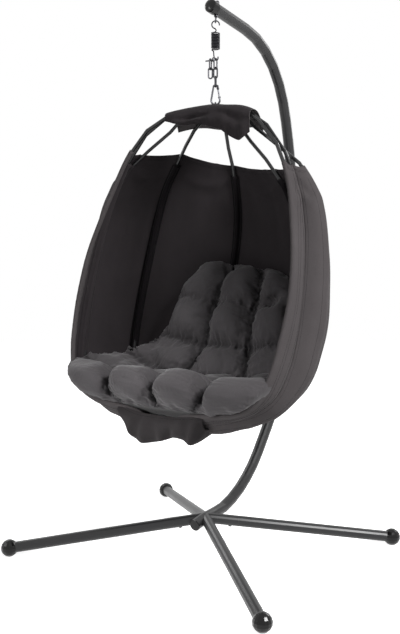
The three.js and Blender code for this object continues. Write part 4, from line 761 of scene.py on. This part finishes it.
def pouch_point(along, down):
    x, top, low, rear = spline_value(POUCH_COLUMNS, along * (len(POUCH_COLUMNS) - 1))
    heights = [top, top + 0.32 * (low - top), top + 0.7 * (low - top), low, low + 0.001, (low + rear) / 2 + 0.002, rear]
    place = down * (len(heights) - 1)
    drop, back = spline_value(heights, place), spline_value(POUCH_BACKS, place)
    hang = math.sin(math.pi * min(1, down * 1.15))
    # Folds that fan out from the ends of the front edge and meet at the notch between the lobes
    fan = FAN_HEIGHT * math.sin(x * FANS + 9 * down + 2 * ripple(x * 12, down * 3, 31))
    fan += FAN_RUMPLE * ripple(x * 34, down * 5, 37)
    back += fan * hang * FAN_SHARE
    drop += POUCH_RUMPLE * ripple(x * 30, down * 6, 41) * hang
    inward = abs(along * 2 - 1) ** 6
    return crown + Vector((x, back + END_SETBACK * inward, -drop))


pouch, pouch_width, pouch_length = cloth_piece("keel_pouch", lofted(pouch_point, 60, 110), shaded_pouch_cloth, shaded_lining)
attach(pouch, "pod")
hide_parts("bottom_cover")
print(f"pouch {pouch_width:.2f} x {pouch_length:.2f} m")

# %% [markdown]
# ## Stitches
#
# Thousands of stitches hold the sling's hem, sleeves and channels and the hood's edges. One at a time they would be a
# night's work, so Geometry Nodes lays them: it turns a seam line into a curve, cuts it at the stitch's pitch and puts
# a short length of thread on each point. The tree has its measures as inputs, so that one tree serves all seams.

# %% One tree for every seam
THREAD_SIDES = 5
PITCH = 0.0042


def stitch_tree():
    tree = bpy.data.node_groups.new("machine_stitches", "GeometryNodeTree")
    tree.interface.new_socket("Seam", in_out="INPUT", socket_type="NodeSocketGeometry")
    for name, default in (("Pitch", PITCH), ("Stitch Length", 0.0031), ("Thread Radius", 0.00042)):
        tree.interface.new_socket(name, in_out="INPUT", socket_type="NodeSocketFloat").default_value = default
    tree.interface.new_socket("Seed", in_out="INPUT", socket_type="NodeSocketInt").default_value = 7
    tree.interface.new_socket("Thread", in_out="INPUT", socket_type="NodeSocketMaterial")
    tree.interface.new_socket("Stitches", in_out="OUTPUT", socket_type="NodeSocketGeometry")
    given, result, curve, tangent, keep, points, thread, shade, uneven, turn, lay, real, paint = (
        tree.nodes.new(kind) for kind in (
            "NodeGroupInput", "NodeGroupOutput", "GeometryNodeMeshToCurve", "GeometryNodeInputTangent",
            "GeometryNodeCaptureAttribute", "GeometryNodeCurveToPoints", "GeometryNodeMeshCylinder",
            "GeometryNodeSetShadeSmooth", "FunctionNodeRandomValue", "FunctionNodeAlignRotationToVector",
            "GeometryNodeInstanceOnPoints", "GeometryNodeRealizeInstances", "GeometryNodeSetMaterial"))
    points.mode = "LENGTH"
    thread.inputs["Vertices"].default_value = THREAD_SIDES
    uneven.data_type = "FLOAT"
    uneven.inputs[2].default_value, uneven.inputs[3].default_value = 0.85, 1.1
    keep.capture_items.new("VECTOR", "Tangent")
    turn.axis = "Z"
    for source, target in (
        (given.outputs["Seam"], curve.inputs["Mesh"]), (curve.outputs["Curve"], keep.inputs["Geometry"]),
        (tangent.outputs["Tangent"], keep.inputs["Tangent"]), (keep.outputs["Geometry"], points.inputs["Curve"]),
        (given.outputs["Pitch"], points.inputs["Length"]), (given.outputs["Thread Radius"], thread.inputs["Radius"]),
        (given.outputs["Stitch Length"], thread.inputs["Depth"]), (thread.outputs["Mesh"], shade.inputs["Geometry"]),
        (points.outputs["Points"], lay.inputs["Points"]), (shade.outputs["Geometry"], lay.inputs["Instance"]),
        (points.outputs["Tangent"], turn.inputs["Vector"]), (turn.outputs["Rotation"], lay.inputs["Rotation"]),
        (given.outputs["Seed"], uneven.inputs["Seed"]), (uneven.outputs[1], lay.inputs["Scale"]),
        (lay.outputs["Instances"], real.inputs["Geometry"]), (real.outputs["Geometry"], paint.inputs["Geometry"]),
        (given.outputs["Thread"], paint.inputs["Material"]), (paint.outputs["Geometry"], result.inputs["Stitches"]),
    ):
        tree.links.new(source, target)
    return tree


machine_stitches = stitch_tree()
input_names = {item.name: item.identifier for item in machine_stitches.interface.items_tree if item.in_out == "INPUT"}


def baked(piece):
    """Applies the piece's modifiers to its mesh."""
    mesh = bpy.data.meshes.new_from_object(piece.evaluated_get(bpy.context.evaluated_depsgraph_get()))
    piece.modifiers.clear()
    piece.data = mesh


def stitched(name, seams):
    """A mesh of stitches along lists of places."""
    mesh = bpy.data.meshes.new(name)
    edges, first = [], 0
    for seam in seams:
        edges += [(first + i, first + i + 1) for i in range(len(seam) - 1)]
        first += len(seam)
    mesh.from_pydata([place for seam in seams for place in seam], edges, [])
    piece = add_object(name, mesh)
    nodes = piece.modifiers.new("stitches", "NODES")
    nodes.node_group = machine_stitches
    nodes[input_names["Pitch"]] = PITCH
    nodes[input_names["Thread"]] = thread_material
    baked(piece)
    print(f"{name}: {sum(map(run, seams)):.1f} m of seams, {len(piece.data.polygons) // (THREAD_SIDES + 2)} stitches")
    return piece


# %% Where the sling is sewn
thread_material = moulded_plastic("bonded_nylon_thread", "#1f1d1e")
OUTSIDE = CLOTH + 0.0002  # thread off the sling's inner face, here on its outside
IN_SLEEVE, IN_CHANNEL, IN_HEM = -0.0030, -0.0036, -0.0003  # and here inside, on what is sewn to it there
SLEEVE_SEAMS = (0.0175, 0.0265)  # off the rib's axis
CHANNEL_SEAM, CHANNEL_END = 0.0132, 0.004
HEM_SEAMS = (0.014, 0.019)  # shares of the sling's height
SEAM_STEPS = [i / 160 for i in range(161)]
HEM_STEPS = [i / 24 for i in range(1, 24)]  # across each panel


def on_sling(panel, t, v, off):
    place, normal = sling_point(panel, t, v)
    return place + normal * off


def seam_beside_rib(panel, edge, reach, off, steps):
    return [on_sling(panel, abs(edge - reach / panel_width(panel, v)), v, off) for v in steps]


channel_steps = [v for v in SEAM_STEPS if CHANNEL_TOP + CHANNEL_END < v < CHANNEL_FOOT - CHANNEL_END]
sling_seams = [seam_beside_rib(panel, edge, reach, off, SEAM_STEPS)
               for panel, edge in ((0, 0), (7, 1)) for reach in SLEEVE_SEAMS for off in (IN_SLEEVE, OUTSIDE)]
sling_seams += [seam_beside_rib(panel, edge, CHANNEL_SEAM, off, channel_steps)
                for k in range(1, 8) for panel, edge in ((k - 1, 1), (k, 0)) for off in (IN_CHANNEL, OUTSIDE)]
sling_seams += [[on_sling(panel, t, v, off) for panel in range(8) for t in HEM_STEPS]
                for v in HEM_SEAMS for off in (IN_HEM, OUTSIDE)]
sling_stitches = stitched("sling_stitches", sling_seams)
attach(sling_stitches, "pod")


# %% Where the hood and the pouch are sewn
COVER_STEPS = [i / 70 for i in range(1, 70)]
HOOD_EDGES, HOOD_ENDS, POUCH_EDGES = (0.035, 0.965), (0.03, 0.97), (0.06, 0.94)
BESIDE_SEAM = 0.06  # of the way from one profile to the next
seam_place = [x for x, _ in HOOD_PROFILES].index(HOOD_SEAM)  # the hood's middle seam runs down this profile


def lifted(rule, a, b, step=0.004):
    """A place on a lofted cover, lifted off its face by its wall."""
    side = rule(min(a + step, 1), b) - rule(max(a - step, 0), b)
    down = rule(a, min(b + step, 1)) - rule(a, max(b - step, 0))
    return rule(a, b) - side.cross(down).normalized() * OUTSIDE


cover_seams = [[lifted(hood_point, a, over) for a in COVER_STEPS] for over in HOOD_EDGES]
cover_seams += [[lifted(hood_point, along, over) for over in COVER_STEPS] for along in HOOD_ENDS]
cover_seams += [[lifted(hood_point, (seam_place + off) / (len(HOOD_PROFILES) - 1), over) for over in COVER_STEPS]
                for off in (-BESIDE_SEAM, BESIDE_SEAM)]
cover_seams += [[lifted(pouch_point, a, down) for a in COVER_STEPS] for down in POUCH_EDGES]
cover_stitches = stitched("cover_stitches", cover_seams)
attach(cover_stitches, "pod")

# %% [markdown]
# ## Cushion
#
# One tufted cushion makes the seat and the back. Its case is stitched through along channels, so that the filling
# stands up in puffs between them. The stitched-through case is built first, a little thin. Then a cloth simulation
# blows it up with its channels held, which is what stuffing does: the puffs round out and the cloth gathers in
# wrinkles along the seams.

# %% Cushion: its case
CUSHION_HEIGHT = 0.517  # of the basket's height
CUSHION_ROWS = [
    # the upper face's middle: back, up; the sole's: back, up; the side seam: left x, right x, back, up
    (-0.880, 0.118, -0.862, 0.100, -0.60, 0.60, -0.860, 0.118),
    (-0.955, 0.178, -0.815, 0.085, -0.70, 0.70, -0.885, 0.180),
    (-0.965, 0.248, -0.752, 0.063, -0.76, 0.76, -0.882, 0.250),
    (-0.885, 0.292, -0.678, 0.022, -0.81, 0.80, -0.820, 0.318),
    (-0.760, 0.290, -0.590, 0.008, -0.82, 0.82, -0.728, 0.352),
    (-0.640, 0.255, -0.515, 0.013, -0.82, 0.83, -0.640, 0.365),
    (-0.500, 0.235, -0.415, 0.056, -0.80, 0.82, -0.515, 0.372),
    (-0.345, 0.238, -0.302, 0.115, -0.74, 0.80, -0.378, 0.382),
    (-0.235, 0.270, -0.202, 0.185, -0.64, 0.76, -0.262, 0.400),
    (-0.175, 0.350, -0.102, 0.281, -0.52, 0.70, -0.172, 0.440),
    (-0.140, 0.450, -0.025, 0.374, -0.42, 0.64, -0.100, 0.510),
    (-0.085, 0.590, 0.048, 0.494, -0.375, 0.61, -0.020, 0.615),
    (-0.020, 0.700, 0.122, 0.615, -0.360, 0.59, 0.055, 0.717),
    (0.020, 0.810, 0.180, 0.735, -0.310, 0.58, 0.098, 0.820),
    (0.090, 0.910, 0.225, 0.865, -0.240, 0.55, 0.155, 0.905),
    (0.190, 0.970, 0.230, 0.955, -0.170, 0.46, 0.205, 0.955),
]
CUSHION_ROWS = [Vector(row) for row in CUSHION_ROWS]
CROSS_SEAMS = [(0.345, 0.85), (0.53, 0.75), (0.675, 0.7), (0.815, 0.24)]  # along the cushion, and how deep
SEAT_SEAMS = [-0.5, 0.0, 0.5]  # across it
BACK_SEAMS = [-0.30, 0.42]
BACK_START = 0.53
LONG_SEAM_PULL = 0.92  # of a puff's height
SEAM_SPREAD = 0.072  # how far off a seam still pulls the case in, in metres
SEAM_DEPTH = 0.9  # of the thickness
PUFF_RISE = 1.16  # how far a puff's top stands above the plain face, as a share of the thickness
TUFTS = [(0.70, 0.835), (-0.30, 0.965)]  # single stitches: across, along
TUFT_SPREAD, TUFT_PULL = 0.035, 0.8
EDGE_THICKNESS = 0.75  # what the side edge keeps, so that it holds filling
CASE_LENGTH = 1.05  # along the middle of the upper face
HALF_CASE = 0.35  # half its width, on average
TILT, TILT_START = 0.03, 0.75  # the back's upper edge drops towards the right, by a share of the cushion's height
CASE_ROWS, CASE_COLUMNS = 150, 90
VOXEL = 0.0075


def seam_distances(across, along, half=HALF_CASE):
    """How far a place of the case is from the nearest lengthwise seam, and from each crosswise one."""
    seams = SEAT_SEAMS if along < BACK_START else BACK_SEAMS
    return (min(abs(across - c) for c in seams) * half,
            [(abs(along - c) * CASE_LENGTH, depth) for c, depth in CROSS_SEAMS])


def pillow(distance, spread):
    """A puff's round side: from 0 at its seam to 1 at its top."""
    return math.sqrt(1 - (1 - min(distance / spread, 1)) ** 2)


def cushion_point(across, along, upper):
    top_back, top_up, sole_back, sole_up, left, right, seam_back, seam_up = spline_value(
        CUSHION_ROWS, along * (len(CUSHION_ROWS) - 1))
    crowning = (1 - abs(across) ** 3) ** 0.55
    x = (left + (right - left) * (across + 1) / 2) * HALF_WIDTH
    tilt = -TILT * across * max(0, along - TILT_START) / (1 - TILT_START)
    face, sole = (
        Vector((x, (seam_back + (back - seam_back) * crowning) * DEPTH,
                (seam_up + (up - seam_up) * crowning + tilt) * CUSHION_HEIGHT * HEIGHT))
        for back, up in ((top_back, top_up), (sole_back, sole_up)))
    half = (right - left) / 2 * HALF_WIDTH
    off_long, off_cross = seam_distances(across, along, half)
    height = 1 - LONG_SEAM_PULL * (1 - pillow(off_long, SEAM_SPREAD))
    for distance, depth in off_cross:
        height *= 1 - depth * (1 - pillow(distance, SEAM_SPREAD))
    for tuft_across, tuft_along in TUFTS:
        distance = math.hypot((across - tuft_across) * half, (along - tuft_along) * CASE_LENGTH)
        height *= 1 - TUFT_PULL * ridge(distance, TUFT_SPREAD)
    height += max(0, EDGE_THICKNESS - height) * abs(across) ** 6
    thickness = (1 - SEAM_DEPTH) + height * (PUFF_RISE - 1 + SEAM_DEPTH)
    return crown + Vector((0, 0, keel_centre.z)) + (sole.lerp(face, thickness) if upper else sole)


def cushion_case():
    """The case's mesh, and for each vertex its place across and along, and whether it is on the upper face."""
    bm = bmesh.new()
    # Columns crowd towards the side seams, where the case turns over
    across = [-math.cos(math.pi * j / CASE_COLUMNS) for j in range(CASE_COLUMNS + 1)]
    grids = {True: [], False: []}
    samples = []
    for upper, grid in grids.items():
        for i in range(CASE_ROWS + 1):
            row = [cushion_point(u, i / CASE_ROWS, upper) for u in across]
            samples += [(place, u, i / CASE_ROWS, upper) for place, u in zip(row, across)]
            grid.append([bm.verts.new(place) for place in row])
        for i in range(CASE_ROWS):
            for j in range(CASE_COLUMNS):
                corners = [grid[i][j], grid[i][j + 1], grid[i + 1][j + 1], grid[i + 1][j]]
                bm.faces.new(corners if upper else reversed(corners))
    for i, first in ((0, True), (CASE_ROWS, False)):
        for j in range(CASE_COLUMNS):
            corners = [grids[True][i][j], grids[True][i][j + 1], grids[False][i][j + 1], grids[False][i][j]]
            bm.faces.new(reversed(corners) if first else corners)
    bmesh.ops.remove_doubles(bm, verts=bm.verts, dist=0.0004)
    bmesh.ops.recalc_face_normals(bm, faces=bm.faces)
    mesh = bpy.data.meshes.new("seat_cushion")
    bm.to_mesh(mesh)
    bm.free()
    return mesh, samples


def nearest_tree(places):
    tree = kdtree.KDTree(len(places))
    for i, place in enumerate(places):
        tree.insert(place, i)
    tree.balance()
    return tree


case_mesh, case_samples = cushion_case()
cushion = add_object("seat_cushion", case_mesh)
remesh = cushion.modifiers.new("even_quads", "REMESH")
remesh.mode = "VOXEL"
remesh.voxel_size = VOXEL
baked(cushion)
print("cushion case:", len(cushion.data.vertices), "points")

# %% [markdown]
# ## Stuffing
#
# Air pressure stands for the filling. The sole rests on the basket and the channels are stitched down, so both are
# pinned. The cloth is cut a little larger than the case, which is what leaves slack for wrinkles. A point may not move
# further than a cap, so no puff swells out of its place.

# %% Stuffing: cloth simulation with the seams held
PRESSURE = 4.0
CUT_LARGER = 0.07
CAP = 0.028
STITCHED_WIDTH = 0.007
HELD_DEPTH = 0.5  # a crosswise seam that is deeper than this is stitched through
SOLE_EDGE, SOLE_END = 0.93, 0.03  # where the sole stops being held, across and along
FRAMES = 20

case_tree = nearest_tree([place for place, *_ in case_samples])
pins = cushion.vertex_groups.new(name="stitched")
cushion_seats = [case_samples[case_tree.find(vertex.co)[1]][1:] for vertex in cushion.data.vertices]
for index, (across, along, upper) in enumerate(cushion_seats):
    off_long, off_cross = seam_distances(across, along)
    off_seam = min(off_long, *(distance for distance, depth in off_cross if depth > HELD_DEPTH))
    on_sole = not upper and abs(across) < SOLE_EDGE and SOLE_END < along < 1 - SOLE_END
    if on_sole or off_seam < STITCHED_WIDTH:
        pins.add([index], 1.0, "REPLACE")

start_places = [vertex.co.copy() for vertex in cushion.data.vertices]
cloth = cushion.modifiers.new("stuffing", "CLOTH")
settings = cloth.settings
settings.quality = 6
settings.mass = 0.25
settings.tension_stiffness = settings.compression_stiffness = 12
settings.shear_stiffness = 6
settings.bending_stiffness = 0.15
settings.vertex_group_mass = pins.name
settings.pin_stiffness = 1.0
settings.use_pressure = True
settings.uniform_pressure_force = PRESSURE
settings.shrink_min = -CUT_LARGER
settings.effector_weights.gravity = 0
cloth.collision_settings.use_collision = False
cloth.collision_settings.use_self_collision = False
cloth.point_cache.frame_start, cloth.point_cache.frame_end = 1, FRAMES
for frame_number in range(1, FRAMES + 1):
    scene.frame_set(frame_number)
baked(cushion)
scene.frame_set(1)
moves = []
for vertex, start_place in zip(cushion.data.vertices, start_places):
    move = vertex.co - start_place
    if move.length > CAP:
        move *= CAP / move.length
    vertex.co = start_place + move
    moves.append(move.length)
mean_move = sum(moves) / len(moves)
print(f"stuffing moved points by {max(moves) * 1000:.0f} mm at most, {mean_move * 1000:.0f} mm on average")

# %% [markdown]
# ## Gathers
#
# A machine stitch through thick filling pulls the cloth in, and small gathers run away from it at a right angle. They
# are finer than the simulated cloth, so the mesh is divided once more and the gathers are added on it: noise that
# is quick along a seam and slow away from it. Each point also keeps how near it is to a seam, which darkens the
# cloth's colour there as painted shade.

# %% Gathers along the seams
GATHER_LENGTH, GATHER_HEIGHT = 0.019, 0.0080  # from one gather to the next, and how high one stands
GATHER_REACH, GATHER_CHANGE = 0.036, 0.055  # over which it dies away from its seam, and changes its shape
EDGE_GATHERS, EDGE_CHANGE = 0.3, 0.06  # how high the side edge's are beside them, and over what they change
MEAN_FOLD = 0.35  # taken off, so that gathers neither fill a puff nor thin it
SHALLOW_STRETCH = 0.4  # a shallow seam's gathers die away sooner
NEAR_ZERO = 0.0005
DIMPLE_HEIGHT, DIMPLE_ACROSS, DIMPLE_ALONG = 0.010, 11, 14  # broad unevenness, in waves per metre
TUFT_PLEATS, PLEAT_HEIGHT, PLEAT_REACH = 7, 0.003, 0.03
SHADE_WIDTH = 0.014  # how far a seam's painted shade reaches

soften = cushion.modifiers.new("soften", "SMOOTH")
soften.factor, soften.iterations = 0.5, 3
divide = cushion.modifiers.new("fine", "SUBSURF")
divide.levels = divide.render_levels = 1
seat_tree = nearest_tree([vertex.co for vertex in cushion.data.vertices])
baked(cushion)


def gather(distance, along_seam, seed, change=GATHER_CHANGE):
    """Folds with round backs and sharp valleys, which die away from their seam."""
    fold = 2 * abs(ripple(along_seam / GATHER_LENGTH, distance / change, seed)) - MEAN_FOLD
    return math.exp(-distance / GATHER_REACH) * fold


def seat_of(place):
    """Where a point of the finer mesh lies on the case: across, along, and whether it is on the upper face."""
    near = seat_tree.find_n(place, 3)
    weights = [1 / (distance + NEAR_ZERO) for _, _, distance in near]
    across, along = (
        sum(w * cushion_seats[i][axis] for w, (_, i, _) in zip(weights, near)) / sum(weights) for axis in (0, 1))
    return across, along, cushion_seats[near[0][1]][2]


heights, nearness = [], []
for vertex in cushion.data.vertices:
    across, along, upper = seat_of(vertex.co)
    off_long, off_cross = seam_distances(across, along)
    near_seam = max(ridge(off_long, SHADE_WIDTH),
                    *(depth ** 2 * ridge(distance, SHADE_WIDTH) for distance, depth in off_cross))
    off_nearest = min(distance / (SHALLOW_STRETCH + (1 - SHALLOW_STRETCH) * depth) for distance, depth in off_cross)
    x, y = across * HALF_CASE, along * CASE_LENGTH
    height = gather(off_long, y, 71) + gather(off_nearest, x, 73)
    height += EDGE_GATHERS * gather((1 - abs(across)) * HALF_CASE, y, 75, EDGE_CHANGE)
    height = height * GATHER_HEIGHT + DIMPLE_HEIGHT * ripple(x * DIMPLE_ACROSS, y * DIMPLE_ALONG, 79)
    for tuft_across, tuft_along in TUFTS:
        dx, dy = x - tuft_across * HALF_CASE, y - tuft_along * CASE_LENGTH
        pleat = math.sin(TUFT_PLEATS * math.atan2(dy, dx) + 1)
        height += PLEAT_HEIGHT * math.exp(-math.hypot(dx, dy) / PLEAT_REACH) * pleat
    heights.append(height if upper else 0.0)
    nearness.append(near_seam if upper else 0.0)
normals = [vertex.normal.copy() for vertex in cushion.data.vertices]
for vertex, normal, height in zip(cushion.data.vertices, normals, heights):
    vertex.co += normal * height
cushion.data.attributes.new("seam_nearness", "FLOAT", "POINT").data.foreach_set("value", nearness)
print(f"gathers stand {max(heights) * 1000:.1f} mm at most")

cushion.data.materials.clear()
cushion.data.materials.append(cushion_cloth)
cushion.data.shade_smooth()
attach(cushion, "pod")
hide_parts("cushion")
print("cushion:", len(cushion.data.polygons), "faces")

# %% [markdown]
# ## Studio
#
# The photograph has a white sweep and broad soft light from the camera's right and from above. Four area lamps do
# that, and a narrow spot lights the seat's front, where the cloth in the photograph is brightest, but not the back
# above it. The white behind the chair is only shown to the camera and to reflections, so it adds no light of its own
# to the cloth.

# %% White sweep, lamps and world
WHITE = "#ffffff"
STUDIO_GREY, STUDIO_LIGHT = "#b8b8b8", 0.14
LAMPS = [  # name, place, what it points at, size in metres, watts
    ("key_lamp", (3.4, -0.85, 3.2), (0, -0.2, 1.0), 1.2, 160),
    ("front_lamp", (-1.9, -3.4, 2.6), (0, -0.3, 0.8), 1.0, 30),
    ("left_lamp", (-3.4, 0.6, 2.2), (0, 0, 0.9), 1.6, 25),
    ("rear_lamp", (0.6, 3.4, 2.6), (0, 0, 1.0), 1.6, 25),
]
SPOT_PLACE, SPOT_TARGET, SPOT_WATTS, SPOT_ANGLE = (-1.1, -3.3, 1.5), (-0.06, -0.42, 0.56), 560, 11

world = bpy.data.worlds.new("studio")
world.use_nodes = True
world.node_tree.nodes.clear()
scene.world = world
rays = add_node(world, "ShaderNodeLightPath")
mirrored = calculate(world, "MAXIMUM", rays.outputs["Is Glossy Ray"], rays.outputs["Is Transmission Ray"])
seen = calculate(world, "MAXIMUM", rays.outputs["Is Camera Ray"], mirrored)
fill = add_node(world, "ShaderNodeBackground", Color=linear(STUDIO_GREY), Strength=STUDIO_LIGHT)
paper = add_node(world, "ShaderNodeBackground", Color=linear(WHITE), Strength=1.0)
sky = add_node(world, "ShaderNodeMixShader", i0=seen, i1=fill.outputs[0], i2=paper.outputs[0])
add_node(world, "ShaderNodeOutputWorld", Surface=sky.outputs[0])

scene.view_settings.view_transform = "Standard"


def add_lamp(name, kind, place, target, watts):
    lamp_data = bpy.data.lights.new(name, kind)
    lamp_data.energy = watts
    lamp = add_object(name, lamp_data)
    lamp.location = place
    lamp.rotation_euler = (Vector(target) - Vector(place)).to_track_quat("-Z", "Y").to_euler()
    return lamp_data


for name, place, target, size, watts in LAMPS:
    lamp_data = add_lamp(name, "AREA", place, target, watts)
    lamp_data.shape = "DISK"
    lamp_data.size = size

spot_data = add_lamp("seat_lamp", "SPOT", SPOT_PLACE, SPOT_TARGET, SPOT_WATTS)
spot_data.spot_size = math.radians(SPOT_ANGLE)
spot_data.spot_blend = 0.9
spot_data.shadow_soft_size = 0.35

# %% Floor: matte white paper, kept bright for the camera so that only the shadow shows on it
PAPER, PAPER_GLOW = "#f4f4f4", 0.88
FLOOR_RADIUS, FLOOR_SIDES = 7.0, 96

sweep_paper = new_material("white_paper")
floor_rays = add_node(sweep_paper, "ShaderNodeLightPath")
matte = add_node(sweep_paper, "ShaderNodeBsdfDiffuse", Color=linear(PAPER), Roughness=1.0)
glow = add_node(sweep_paper, "ShaderNodeEmission", Color=linear(WHITE), Strength=PAPER_GLOW)
lit = add_node(sweep_paper, "ShaderNodeAddShader", i0=matte.outputs[0], i1=glow.outputs[0])
shown = calculate(sweep_paper, "MAXIMUM", floor_rays.outputs["Is Camera Ray"], floor_rays.outputs["Is Glossy Ray"])
floor_mix = add_node(sweep_paper, "ShaderNodeMixShader", i0=shown, i1=matte.outputs[0], i2=lit.outputs[0])
add_node(sweep_paper, "ShaderNodeOutputMaterial", Surface=floor_mix.outputs[0])

floor_mesh = bpy.data.meshes.new("floor")
bm = bmesh.new()
bmesh.ops.create_circle(bm, cap_ends=True, segments=FLOOR_SIDES, radius=FLOOR_RADIUS)
bm.to_mesh(floor_mesh)
bm.free()
floor_mesh.materials.append(sweep_paper)
floor = add_object("floor", floor_mesh)
